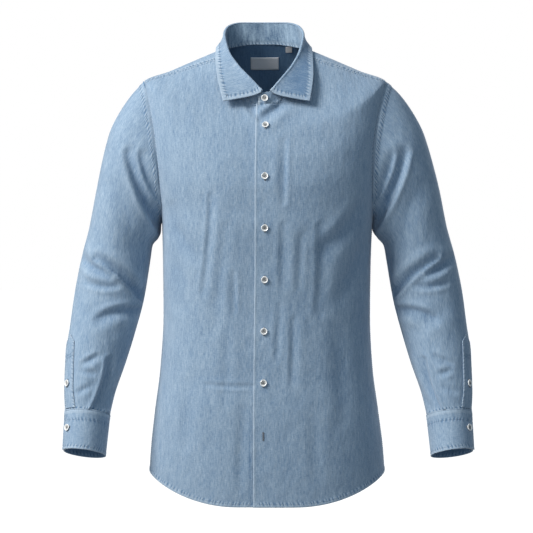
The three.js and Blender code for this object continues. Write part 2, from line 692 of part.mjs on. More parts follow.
function collarLeaf() {
  const section = (row, along) => {
    const frame = collarFrame(along);
    const bend = mix(Math.PI, 0, Math.min(row, 1));
    const folded = frame.roll.clone().addScaledVector(frame.rise, STAND_SEAM + Math.sin(bend) * ROLL_RADIUS);
    folded.addScaledVector(frame.outwards, (1 + Math.cos(bend)) * ROLL_RADIUS - DOUBLE_CLOTH);
    if (row <= 1) return folded;
    const fall = row - 1;
    const control = folded.clone();
    control.z += (frame.edge.z - folded.z) * LEAF_FALL;
    const first = folded.clone().lerp(control, fall);
    return first.lerp(control.lerp(frame.edge, fall), fall);
  };
  const locate = (row, along) => {
    const held = THREE.MathUtils.clamp(along, -LEAF_ENDS, LEAF_ENDS);
    const frame = collarFrame(held);
    const alongRun = section(row, held + LEAF_STEP).sub(section(row, held - LEAF_STEP));
    const low = section(Math.max(row - LEAF_STEP, 0), held);
    const downRun = section(Math.min(row + LEAF_STEP, 2), held).sub(low);
    const normal = alongRun.cross(downRun).normalize();
    const bend = mix(Math.PI, 0, Math.min(row, 1));
    const guide = frame.outwards.clone().multiplyScalar(Math.cos(bend));
    guide.z += Math.sin(bend) + LEAF_LIFT;
    if (normal.dot(guide) < 0) normal.negate();
    return { point: section(row, along), normal };
  };
  return wall(steps(0, 2, LEAF_ROWS), steps(-1, 1, LEAF_COLUMNS), locate, DOUBLE_CLOTH);
}

// A button's section as shares of its radius and height, with a raised rim and a dished middle
const BUTTON_SECTION = table(['across', 'up'], [[0, 0], [0.7, 0], [1, 0.45], [0.93, 1], [0.5, 0.6], [0, 0.6]]);
const BUTTON_SIDES = 12;
const BUTTON_LIFTS = {
  front: SEAM_GAP,
  placket: PLACKET_GAP + TRIM_CLOTH + 2 * SEAM_GAP,
  cuff: 3 * SEAM_GAP,
  collar: 4 * SEAM_GAP,
};

function buttonGeometry() {
  const radius = BUTTON_WIDTH / 2;
  const place = ({ across, up }) => new THREE.Vector2(across * radius, up * BUTTON_HEIGHT);
  return new THREE.LatheGeometry(BUTTON_SECTION.map(place), BUTTON_SIDES);
}

function button(name, { point, normal }) {
  const piece = mesh(name, buttonGeometry(), 'button');
  piece.quaternion.setFromUnitVectors(new THREE.Vector3(0, 1, 0), normal);
  piece.position.copy(point);
  return piece;
}

function frontButtonPlace(z) {
  const angleOf = (level) => frontAngle(column(BODY_LOOPS, 'opening', level), level);
  const level = levelAt(angleOf, z);
  return onBody(angleOf(level), level, BUTTON_LIFTS.front);
}

// A small flat label inside the back of the neck
const LABEL_ROWS = 3;
const LABEL_COLUMNS = 4;

function labelPatch({ width, height, x, z }) {
  const angleOf = (place, level) => {
    const share = (place - column(BODY_LOOPS, 'shift', level)) / column(BODY_LOOPS, 'side', level);
    return Math.PI / 2 - Math.asin(signedPower(share, column(BODY_LOOPS, 'squareness', level) / 2));
  };
  const locate = (down, across) => {
    const place = x + across * width;
    const level = levelAt((held) => angleOf(place, held), z - down * height);
    return onBody(angleOf(place, level), level, -CLOTH - LABEL_GAP);
  };
  return wall(steps(0, 1, LABEL_ROWS), steps(-0.5, 0.5, LABEL_COLUMNS), locate, TRIM_CLOTH);
}

const shirt = new THREE.Group();
shirt.add(mesh('front_right', frontPanel(-1), 'cloth'));
shirt.add(mesh('front_left', frontPanel(1), 'cloth'));
shirt.add(mesh('back', backPanel(), 'cloth'));
shirt.add(mesh('yoke', yokePanel(), 'cloth'));
shirt.add(mesh('collar_stand', collarStand(), 'cloth'));
shirt.add(mesh('collar_leaf', collarLeaf(), 'cloth'));
for (const sides of SIDES) {
  shirt.add(mesh(`sleeve_${sides.side}`, sleevePanel(sides), 'cloth'));
  shirt.add(mesh(`cuff_${sides.side}`, cuffBand(sides), 'cloth'));
  shirt.add(mesh(`placket_${sides.side}`, placketStrip(sides), 'cloth'));
}
for (const sides of SIDES) {
  const ring = mix(PLACKET.topRing, PLACKET.bottomRing, PLACKET.button);
  const turn = degrees(mix(PLACKET.topTurn, PLACKET.bottomTurn, PLACKET.button));
  shirt.add(button(`button_placket_${sides.side}`, onSleeve(turn, ring, sides, BUTTON_LIFTS.placket)));
  const place = cuffPoint(degrees(CUFF_BUTTON_ANGLE), CUFF_BUTTON_SHARE, sides, BUTTON_LIFTS.cuff);
  shirt.add(button(`button_cuff_${sides.side}`, place));
}
shirt.add(button('button_collar', onStand(STAND_BUTTON.up, STAND_BUTTON.along, BUTTON_LIFTS.collar)));
shirt.add(mesh('neck_label', labelPatch(LABEL), 'label'));
shirt.add(mesh('size_tag', labelPatch(TAG), 'tag'));
for (let index = 0; index < FRONT_BUTTONS.count; index += 1) {
  const place = frontButtonPlace(FRONT_BUTTONS.first + index * FRONT_BUTTONS.pitch);
  shirt.add(button(`button_front_${index + 1}`, place));
}

export default shirt;
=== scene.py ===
"""A light-washed denim shirt in its worn, hollow shape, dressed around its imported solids."""

import logging
import math
from collections.abc import Callable, Sequence
from dataclasses import dataclass, field
from enum import Enum

import bmesh
import bpy
import numpy as np
from mathutils import Matrix, Vector


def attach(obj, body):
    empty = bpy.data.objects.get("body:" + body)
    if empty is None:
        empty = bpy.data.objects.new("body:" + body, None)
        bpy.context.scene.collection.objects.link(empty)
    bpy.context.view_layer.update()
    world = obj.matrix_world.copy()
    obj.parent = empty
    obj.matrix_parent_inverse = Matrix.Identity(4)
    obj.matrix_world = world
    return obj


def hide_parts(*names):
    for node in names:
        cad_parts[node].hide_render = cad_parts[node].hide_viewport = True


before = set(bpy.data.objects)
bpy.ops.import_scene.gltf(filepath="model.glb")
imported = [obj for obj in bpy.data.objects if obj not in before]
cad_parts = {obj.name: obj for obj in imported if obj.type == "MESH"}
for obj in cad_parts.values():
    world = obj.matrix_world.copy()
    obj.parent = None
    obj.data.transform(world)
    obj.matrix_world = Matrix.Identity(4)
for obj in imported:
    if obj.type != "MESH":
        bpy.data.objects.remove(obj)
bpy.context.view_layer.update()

log = logging.getLogger("shirt")
Array = np.ndarray
Triple = tuple[float, float, float]
Surface = Callable[[Array, Array], Array]
Material = bpy.types.Material
Socket = bpy.types.NodeSocket

# Forms are worked out in millimetres and become metres as a mesh is made
MM = 0.001
STEP = 0.002
FULL_TURN = 2 * math.pi
QUARTER = math.pi / 2
CAD_CLOTH = 1.6
CLOTH = 1.1
DOUBLE_CLOTH = 1.9


class Face(Enum):
    """The side of the shirt that a crease shows on, with its sign along +Y."""

    FRONT = -1
    BACK = 1


class Side(Enum):
    """One edge of a grid of cloth."""

    FIRST_ROW = "first row"
    LAST_ROW = "last row"
    FIRST_COLUMN = "first column"
    LAST_COLUMN = "last column"


class Hold(Enum):
    """How a sheet of cloth is held."""

    HUNG = "hung"
    FOLDED = "folded"
    LAID = "laid"


# Curves and tables


def smooth(value: Array | float) -> Array:
    """Eases a share from 0 to 1."""
    held = np.clip(value, 0, 1)
    return held * held * (3 - 2 * held)


def mix(low: Array | float, high: Array | float, share: Array | float) -> Array:
    """Goes from low to high by a share."""
    return low + (high - low) * share


def signed_power(value: Array, power: Array) -> Array:
    """Raises the size of a value to a power and keeps its sign."""
    return np.sign(value) * np.abs(value) ** power


def unit(vectors: Array) -> Array:
    """Scales vectors to length one."""
    return vectors / np.maximum(np.linalg.norm(vectors, axis=-1, keepdims=True), 1e-12)


def dot(first: Array, second: Array) -> Array:
    """The dot product of two arrays of vectors, kept as a column."""
    return np.sum(first * second, axis=-1, keepdims=True)


def stack(x: Array, y: Array, z: Array) -> Array:
    """Joins three coordinates into points."""
    return np.stack(np.broadcast_arrays(x, y, z), axis=-1)


def eased(count: int, ends: float = 0.6) -> Array:
    """Steps from 0 to 1 in count spaces, finer at both ends as the share for them nears 1."""
    even = np.linspace(0, 1, count + 1)
    return even - ends * np.sin(FULL_TURN * even) / FULL_TURN


# An uneven wave's beat and swell, with their lengths in pitches
BEAT_STRENGTH = 1.5
BEAT_LENGTH = 3.7
SWELL_LEVEL = 0.65
SWELL_STRENGTH = 0.35
SWELL_LENGTH = 5.3
SWELL_SEED = 2.3


def waver(run: Array, pitch: float, seed: float) -> Array:
    """An uneven wave along a run, between about -1 and 1.

    Args:
        run: distance along the wave.
        pitch: its usual length.
        seed: shifts it, so that no two are alike.

    Returns:
        The wave's height.
    """
    beat = BEAT_STRENGTH * np.sin(FULL_TURN * run / (BEAT_LENGTH * pitch) + seed)
    swell = np.sin(FULL_TURN * run / (SWELL_LENGTH * pitch) + SWELL_SEED * seed)
    height = SWELL_LEVEL + SWELL_STRENGTH * swell
    return height * np.sin(FULL_TURN * run / pitch + beat + seed)


@dataclass(frozen=True)
class SizeTable:
    """Named columns of sizes, read between rows along a curve that never overshoots."""

    names: tuple[str, ...]
    rows: tuple[tuple[float, ...], ...]

    @property
    def last(self) -> int:
        """The number of the last row."""
        return len(self.rows) - 1

    def read(self, name: str, place: Array | float) -> Array:
        """Reads one column.

        Args:
            name: the column.
            place: row numbers, whole or between rows.

        Returns:
            The sizes there.
        """
        values = np.array([row[self.names.index(name)] for row in self.rows], float)
        rise = np.diff(values)
        before, after = rise[:-1], rise[1:]
        total = np.where(before * after > 0, before + after, 1)
        inner = np.where(before * after > 0, 2 * before * after / total, 0)
        slope = np.concatenate([rise[:1], inner, rise[-1:]])
        held = np.clip(np.asarray(place, float), 0, self.last)
        row = np.minimum(held.astype(int), self.last - 1)
        t = held - row
        curve = values[row] + rise[row] * t * t * (3 - 2 * t)
        return curve + slope[row] * t * (1 - t) ** 2 - slope[row + 1] * t * t * (1 - t)


# What creases share: the depth and inset of their ends, how many widths they run on past them
# and their lips stand off, and how sharply they harden and fade out of sight
END_DEPTH = 0.3
END_INSET = 0.1
END_REACH = 1.5
LIP_PLACE = 1.9
HARD_REACH = 2
FACE_SHARPNESS = 2


@dataclass(frozen=True)
class Crease:
    """A soft trough in the cloth from one point to another, seen from its face.

    A minus depth is a ridge. The lip is how far the cloth swells on both sides of it, the bow
    bends the crease sideways at its middle, and the hard share makes one of its sides steeper
    than the other, as where cloth folds over itself.
    """

    face: Face
    x1: float
    z1: float
    x2: float
    z2: float
    width: float
    depth: float
    bow: float = 0.0
    lip: float = 0.25
    hard: float = 0.0

    def at(self, x: Array, z: Array, facing: Array) -> Array:
        """How deep the crease is at points of the cloth.

        Args:
            x: places across, in millimetres.
            z: heights.
            facing: -1 at the front to 1 at the back.

        Returns:
            The depth at each point.
        """
        run_x, run_z = self.x2 - self.x1, self.z2 - self.z1
        length = math.hypot(run_x, run_z)
        along = ((x - self.x1) * run_x + (z - self.z1) * run_z) / length**2
        held = np.clip(along, 0, 1)
        bend = self.bow * 4 * held * (1 - held)
        off_x = x - self.x1 - run_x * held + bend * run_z / length
        off_z = z - self.z1 - run_z * held - bend * run_x / length
        side = np.sign(off_x * run_z - off_z * run_x)
        away = side * np.hypot(off_x, off_z) / self.width
        away = away / (1 - self.hard * np.tanh(HARD_REACH * away))
        taper = mix(END_DEPTH, 1, np.sin(math.pi * (held * (1 - 2 * END_INSET) + END_INSET)))
        beyond = np.exp(-((np.abs(along - held) * length / (END_REACH * self.width)) ** 2))
        swell = np.exp(-((away - LIP_PLACE) ** 2)) + np.exp(-((away + LIP_PLACE) ** 2))
        shown = smooth(facing * self.face.value * FACE_SHARPNESS)
        return shown * taper * beyond * self.depth * (np.exp(-(away**2)) - self.lip * swell)


def crease_depth(creases: Sequence[Crease], x: Array, z: Array, facing: Array) -> Array:
    """Adds up all the creases at points of the cloth."""
    return sum((crease.at(x, z, facing) for crease in creases), np.zeros(np.shape(x)))


def surface_normal(surface: Surface, a: Array, b: Array, outwards: Array) -> Array:
    """The unit normals of a surface of two places.

    Args:
        surface: gives points for two places.
        a: first places.
        b: second places.
        outwards: vectors on the side that the normals take.

    Returns:
        The normals.
    """
    along_a = surface(a + STEP, b) - surface(a - STEP, b)
    along_b = surface(a, b + STEP) - surface(a, b - STEP)
    normal = unit(np.cross(along_a, along_b))
    return np.where(dot(normal, outwards) < 0, -normal, normal)


# The forms that the cloth lies on


LOOPS = SizeTable(
    ("side", "side_z", "front", "front_z", "back", "back_z", "squareness", "shift", "opening"),
    (
        (199, -711, 111, -761, 114, -772, 2.4, 1, -5),
        (196, -670, 114, -695, 117, -700, 2.4, 0.8, -5.2),
        (188.5, -607, 115, -615, 116, -616, 2.4, 0.2, -5.4),
        (179.5, -537, 112, -539, 111, -539, 2.4, 0, -4.8),
        (174.8, -450, 111, -450, 108, -450, 2.4, 0.5, -3.8),
        (175.6, -369, 116, -369, 114, -365, 2.4, 0.6, -3),
        (178.8, -282, 123, -290, 123, -280, 2.4, 1.2, -2.8),
        (189, -215, 123, -240, 127, -225, 2.4, -1.5, -2.8),
        (197, -150, 117, -195, 126, -170, 2.4, -3.5, -2.6),
        (203, -95, 106, -158, 119, -118, 2.35, -3.5, -2.2),
        (205, -54, 97, -135, 104, -74, 2.3, -2.5, -1.8),
        (159.5, -33.5, 88, -119, 84, -36, 2.2, -2.3, -1.4),
        (113.5, -13.5, 81, -107, 62, -6, 2.1, -2.3, -1),
        (67, 6, 76, -97, 42, 18, 2, -3, -0.8),
    ),
)
CHEST = 6
SHOULDER = 10
NECK = LOOPS.last

BODY_CREASES = (
    Crease(Face.FRONT, -92, -250, -106, -412, 5.5, 2.4, 3, 0.45, 0.4),
    Crease(Face.FRONT, -70, -300, -84, -470, 10, 1.6),
    Crease(Face.FRONT, -54, -376, -53, -440, 5, 1.7, 0, 0.45, -0.3),
    Crease(Face.FRONT, -64, -470, -68, -590, 9, 1.3),
    Crease(Face.FRONT, -101, -561, -22, -563, 3.2, 1.5, -1.5, 0.45, 0.3),
    Crease(Face.FRONT, -128, -560, -134, -660, 12, 2.2),
    Crease(Face.FRONT, -38, -600, -44, -730, 8, 1.4),
    Crease(Face.FRONT, 30, -160, 27, -262, 6, 1.9, 0, 0.4, -0.3),
    Crease(Face.FRONT, 27, -300, 25, -400, 7, 1.6, 0, 0.4, 0.3),
    Crease(Face.FRONT, 56, -318, 53, -400, 6, 1.4, 0, 0.4),
    Crease(Face.FRONT, 88, -300, 84, -440, 9, 2.6, 3, 0.4, 0.4),
    Crease(Face.FRONT, 44, -452, 41, -560, 6, 1.9, 0, 0.4, 0.3),
    Crease(Face.FRONT, 22, -430, 17, -520, 5, 1.4, 0, 0.4),
    Crease(Face.FRONT, 118, -470, 128, -620, 13, 2.6),
    Crease(Face.FRONT, 76, -600, 82, -720, 10, 1.4),
    Crease(Face.FRONT, 156, -262, 92, -338, 12, 4.4, 6, 0.4, 0.2),
    Crease(Face.FRONT, 162, -300, 118, -420, 14, 3.6, 8),
    Crease(Face.FRONT, -158, -268, -118, -352, 12, 3.4, -6),
    Crease(Face.FRONT, -152, -310, -140, -430, 14, 2.4),
    Crease(Face.FRONT, 28, -94, -10, -122, 7, 4.0, 0, 0.5, 0.3),
    Crease(Face.FRONT, -34, -90, -16, -118, 5, 2.6, 0, 0.3),
    Crease(Face.BACK, -120, -240, -70, -430, 13, 5, 8, 0.4, 0.2),
    Crease(Face.BACK, 112, -250, 74, -450, 12, 5.5, -8, 0.4, -0.2),
    Crease(Face.BACK, -20, -330, -34, -520, 9, 3.4, 4, 0.4, 0.3),
    Crease(Face.BACK, 40, -420, 52, -610, 11, 4, 0, 0.4, -0.3),
    Crease(Face.BACK, -88, -520, -96, -660, 12, 3),
    Crease(Face.BACK, 8, -560, 2, -720, 9, 2.6),
    Crease(Face.BACK, -52, -150, -58, -300, 10, 2.4),
    Crease(Face.BACK, 60, -160, 50, -270, 9, 2.2),
)


@dataclass(frozen=True)
class BodyForm:
    """The smooth worn body that the fronts, the back and the yoke lie on."""

    armhole_angle: float = math.radians(23.4)
    armhole_middle: float = (CHEST + SHOULDER) / 2
    armhole_rise: float = (SHOULDER - CHEST) / 2
    side_turn: float = math.radians(80)
    level_steps: int = 1600
    creases: tuple[Crease, ...] = BODY_CREASES

    def plain(self, angle: Array, level: Array) -> Array:
        """Points on the smooth body.

        Args:
            angle: angles from the wearer's left side.
            level: levels among the loops.

        Returns:
            The points.
        """
        across, along = np.cos(angle), np.sin(angle)
        front = along < 0
        power = 2 / LOOPS.read("squareness", level)
        reach = np.where(front, LOOPS.read("front", level), LOOPS.read("back", level))
        end_z = np.where(front, LOOPS.read("front_z", level), LOOPS.read("back_z", level))
        x = LOOPS.read("shift", level) + LOOPS.read("side", level) * signed_power(across, power)
        y = reach * signed_power(along, power)
        turn = np.arcsin(np.clip(np.abs(along), 0, 1)) / self.side_turn
        return stack(x, y, mix(LOOPS.read("side_z", level), end_z, smooth(turn)))

    def plain_normal(self, angle: Array, level: Array) -> Array:
        """The normals of the smooth body.

        Args:
            angle: angles round the body.
            level: levels among the loops.

        Returns:
            The unit normals.
        """
        middle_z = LOOPS.read("side_z", np.minimum(level, CHEST)) - CAD_CLOTH
        middle = stack(np.zeros_like(middle_z), np.zeros_like(middle_z), middle_z)
        return surface_normal(self.plain, angle, level, self.plain(angle, level) - middle)

    def creased(self, angle: Array, level: Array) -> Array:
        """Points with the creases pressed in.

        Args:
            angle: angles round the body.
            level: levels among the loops.

        Returns:
            The points.
        """
        points = self.plain(angle, level)
        depth = crease_depth(self.creases, points[..., 0], points[..., 2], np.sin(angle))
        return points - self.plain_normal(angle, level) * depth[..., None]

    def on(self, angle: Array, level: Array, lift: Array | float = 0.0) -> tuple[Array, Array]:
        """Places on the creased body, moved out.

        Args:
            angle: angles round the body.
            level: levels among the loops.
            lift: how far the points move out.

        Returns:
            The points and their normals.
        """
        angle, level = np.broadcast_arrays(np.asarray(angle, float), np.asarray(level, float))
        normals = surface_normal(self.creased, angle, level, self.plain_normal(angle, level))
        return self.creased(angle, level) + normals * np.asarray(lift, float)[..., None], normals

    def front_angle(self, x: Array, level: Array) -> Array:
        """The angle on the front at which a loop passes a given x."""
        share = (x - LOOPS.read("shift", level)) / LOOPS.read("side", level)
        return -QUARTER + np.arcsin(signed_power(share, LOOPS.read("squareness", level) / 2))

    def back_angle(self, x: Array, level: Array) -> Array:
        """The angle on the back at which a loop passes a given x."""
        return -self.front_angle(x, level)

    def level_at(self, angle_of: Callable[[Array], Array], z: float) -> float:
        """The level at which a line of angles passes a height.

        Args:
            angle_of: gives the line's angle at a level.
            z: the height.

        Returns:
            The level.
        """
        levels = np.linspace(0, NECK, self.level_steps + 1)
        heights = self.plain(angle_of(levels), levels)[..., 2]
        return float(np.interp(z, heights, levels))

    def armhole(self, turn: Array) -> tuple[Array, Array]:
        """The armhole's angle and level on the wearer's left, by its turn from the front up."""
        level = self.armhole_middle + self.armhole_rise * np.sin(turn)
        return -self.armhole_angle * np.cos(turn), level


BODY = BodyForm()


def mirror_angle(angle: Array, sign: Array | int) -> Array:
    """Moves an angle to the wearer's right where the sign is below zero."""
    return np.where(np.asarray(sign) > 0, angle, math.pi - angle)


RINGS = SizeTable(
    ("outer_x", "outer_z", "inner_x", "inner_z", "middle", "front", "back", "lift", "right", "left"),
    (
        (205, -54, 179, -282, 1, 57, 59, 0, 1, -1),
        (239, -80, 181, -290, 2, 60, 62, 0, -1, -1),
        (264, -122, 182.5, -299, 4, 62, 63, 0, -3, -3.5),
        (281, -178, 183.5, -308, 6, 62, 62, 0, -3.5, -1.5),
        (292, -236, 187, -318, 8, 61, 60, 0, -2.5, 2.5),
        (302, -296, 195, -330, 9, 59, 57, 0, -1, 4.5),
        (316, -352, 199, -356, 8, 57, 55, 2, -1, 5.5),
        (327, -412, 209, -420, 1, 54, 53, 5, -1, 6),
        (333, -464, 222, -472, -12, 51, 50, 8, -1, 5.5),
        (338.5, -517, 237, -525, -26, 48, 46, 10, -0.5, 5.5),
        (339, -571, 254, -578, -41, 45, 43, 11, 0, 6),
        (336.5, -609, 262, -614, -51, 41, 40, 11, 0, 6),
    ),
)
SLEEVE_END = RINGS.last

SLEEVE_CREASES = (
    Crease(Face.FRONT, 232, -176, 176, -306, 9, 8, 6, 0.4, -0.35),
    Crease(Face.FRONT, 209, -180, 180, -252, 7, 6, 4, 0.4, -0.3),
    Crease(Face.FRONT, 258, -230, 226, -330, 15, 3, -6),
    Crease(Face.FRONT, 286, -352, 206, -430, 6.5, 8, -8, 0.5, -0.45),
    Crease(Face.FRONT, 312, -352, 262, -384, 8, 5.5, 3, 0.4, -0.2),
    Crease(Face.FRONT, 300, -394, 250, -399, 6, 4.5, 3, 0.45, -0.3),
    Crease(Face.FRONT, 280, -452, 212, -440, 8, 5, -6, 0.45, 0.3),
    Crease(Face.FRONT, 292, -440, 250, -470, 12, 3),
    Crease(Face.FRONT, 306, -528, 280, -514, 5, 3, 0, 0.45, 0.2),
    Crease(Face.FRONT, 306, -538, 286, -544, 4.5, 2.6, 0, 0.45),
    Crease(Face.FRONT, 312, -574, 292, -564, 5, 2.4),
    Crease(Face.BACK, 246, -170, 196, -296, 11, 7, 6, 0.4, 0.2),
    Crease(Face.BACK, 222, -205, 188, -262, 8, 5),
    Crease(Face.BACK, 306, -372, 232, -352, 11, 5, 6, 0.4, 0.3),
    Crease(Face.BACK, 300, -420, 234, -448, 10, 6, 4, 0.4, -0.3),
    Crease(Face.BACK, 312, -500, 262, -520, 12, 4),
    Crease(Face.FRONT, 292, -614, 262, -520, 6, 5.5, 5, 0.5, 0.4),
    Crease(Face.FRONT, 278, -614, 250, -560, 5, 3.5, 0, 0.4),
)


@dataclass(frozen=True)
class SleeveForm:
    """One bent sleeve from the armhole to the cuff's lower edge."""

    name: str
    sign: int
    creases: tuple[Crease, ...] = SLEEVE_CREASES
    head_blend: float = 2.4
    seam_gap: float = -0.7
    rise_share: float = 0.2
    underarm_gap: float = 1.0
    crease_start: float = 0.8
    cuff_ease: float = 1.0
    cuff_outer: tuple[float, float] = (1.5, -63.0)
    cuff_inner: tuple[float, float] = (6.0, -66.0)
    cuff_middle: float = -18.0

    def ring(self, place: Array) -> dict[str, Array]:
        """The ends and reaches of the sleeve's rings at places among them.

        Args:
            place: places among the rings.

        Returns:
            The sizes by name.
        """
        reach = RINGS.read(self.name, place)
        middle = RINGS.read("middle", place)
        outer_x = (RINGS.read("outer_x", place) + reach) * self.sign
        inner_x = (RINGS.read("inner_x", place) + reach) * self.sign
        return {
            "outer": stack(outer_x, middle, RINGS.read("outer_z", place)),
            "inner": stack(inner_x, middle, RINGS.read("inner_z", place)),
            "front": RINGS.read("front", place),
            "back": RINGS.read("back", place),
            "lift": RINGS.read("lift", place),
        }

    @staticmethod
    def ring_point(ring: dict[str, Array], turn: Array) -> Array:
        """Points round a ring, where a quarter turn is its outer side and 0 its front.

        Args:
            ring: the rings' ends and reaches.
            turn: turns round them.

        Returns:
            The points.
        """
        forwards = np.cos(turn)
        outwards = (np.sin(turn) + 1) / 2
        point = mix(ring["inner"], ring["outer"], outwards[..., None])
        reach = np.where(forwards > 0, ring["front"], ring["back"])
        return point + stack(np.zeros_like(turn), -forwards * reach, forwards * ring["lift"])

    def head(self, turn: Array) -> Array:
        """The sleeve's first edge, which follows the armhole.

        Args:
            turn: turns round the armhole.

        Returns:
            The points.
        """
        angle, level = BODY.armhole(turn)
        held = mirror_angle(angle, self.sign)
        point = BODY.plain(held, level)
        normal = BODY.plain_normal(held, level)
        next_angle, next_level = BODY.armhole(turn + STEP)
        run = BODY.plain(mirror_angle(next_angle, self.sign), next_level) - point
        inwards = unit(np.cross(run, normal))
        up = np.sign(-np.sin(turn))
        wrong = inwards[..., 0] * self.sign + inwards[..., 2] * up * self.rise_share < 0
        inwards = np.where(wrong[..., None], -inwards, inwards)
        point = point + inwards * self.seam_gap
        point[..., 0] += self.sign * self.underarm_gap * np.maximum(0, -np.sin(turn)) ** 4
        return point

    def plain(self, turn: Array, place: Array) -> Array:
        """Points on the smooth sleeve."""
        share = smooth(place / self.head_blend)[..., None]
        return mix(self.head(turn), self.ring_point(self.ring(place), turn), share)

    def plain_normal(self, turn: Array, place: Array) -> Array:
        """The normals of the smooth sleeve.

        Args:
            turn: turns round the sleeve.
            place: places among the rings.

        Returns:
            The unit normals.
        """
        held = np.maximum(place, STEP)
        ring = self.ring(held)
        middle = (ring["outer"] + ring["inner"]) / 2
        return surface_normal(self.plain, turn, held, self.plain(turn, held) - middle)

    def creased(self, turn: Array, place: Array) -> Array:
        """Points with the creases pressed in.

        Args:
            turn: turns round the sleeve.
            place: places among the rings.

        Returns:
            The points.
        """
        points = self.plain(turn, place)
        outwards = points[..., 0] * self.sign
        depth = crease_depth(self.creases, outwards, points[..., 2], -np.cos(turn))
        depth = depth * smooth(place / self.crease_start)
        return points - self.plain_normal(turn, place) * depth[..., None]

    def on(self, turn: Array, place: Array, lift: Array | float = 0.0) -> tuple[Array, Array]:
        """Places on the creased sleeve, moved out.

        Args:
            turn: turns round the sleeve.
            place: places among the rings.
            lift: how far the points move out.

        Returns:
            The points and their normals.
        """
        turn, place = np.broadcast_arrays(np.asarray(turn, float), np.asarray(place, float))
        held = np.maximum(place, STEP)
        normals = surface_normal(self.creased, turn, held, self.plain_normal(turn, held))
        return self.creased(turn, place) + normals * np.asarray(lift, float)[..., None], normals

    def on_cuff(self, turn: Array, along: Array, lift: Array | float = 0.0) -> tuple[Array, Array]:
        """Places on the cuff, moved out.

        Args:
            turn: turns round the cuff.
            along: 0 at its seam to 1 at its lower edge.
            lift: how far the points move out.

        Returns:
            The points and their normals.
        """
        turn, along = np.broadcast_arrays(np.asarray(turn, float), np.asarray(along, float))
        ring = self.ring(np.full(turn.shape, float(SLEEVE_END)))
        for name, (drop_x, drop_z) in (("outer", self.cuff_outer), ("inner", self.cuff_inner)):
            drop = np.array([self.sign * drop_x, self.cuff_middle, drop_z])
            ring[name] = ring[name] + drop * along[..., None]
        middle = (ring["outer"] + ring["inner"]) / 2
        point = self.ring_point(ring, turn)
        normals = unit(point - middle)
        return point + normals * (np.asarray(lift, float) + self.cuff_ease)[..., None], normals


SLEEVES = (SleeveForm("right", -1), SleeveForm("left", 1))


STATIONS = SizeTable(
    ("neck_angle", "shift", "roll_x", "roll_y", "roll_z", "edge_x", "edge_y", "edge_z"),
    (
        (-84, 0, 8, -79, -76, 72, -84, -92),
        (-66, -1, 26, -69, -55, 77, -71.5, -68),
        (-48, -2.5, 45, -53, -32, 81, -54, -42),
        (-30, -4, 60, -34, -5, 82, -32, -16),
        (-6, -4.5, 66.5, -6, 26, 81, -3, 6),
        (24, -5, 60, 20, 43, 72, 28, 12),
        (56, -5, 38, 38, 51.3, 46, 52, 14),
        (90, -5, 0, 44, 52.1, 0, 62, 14),
    ),
)


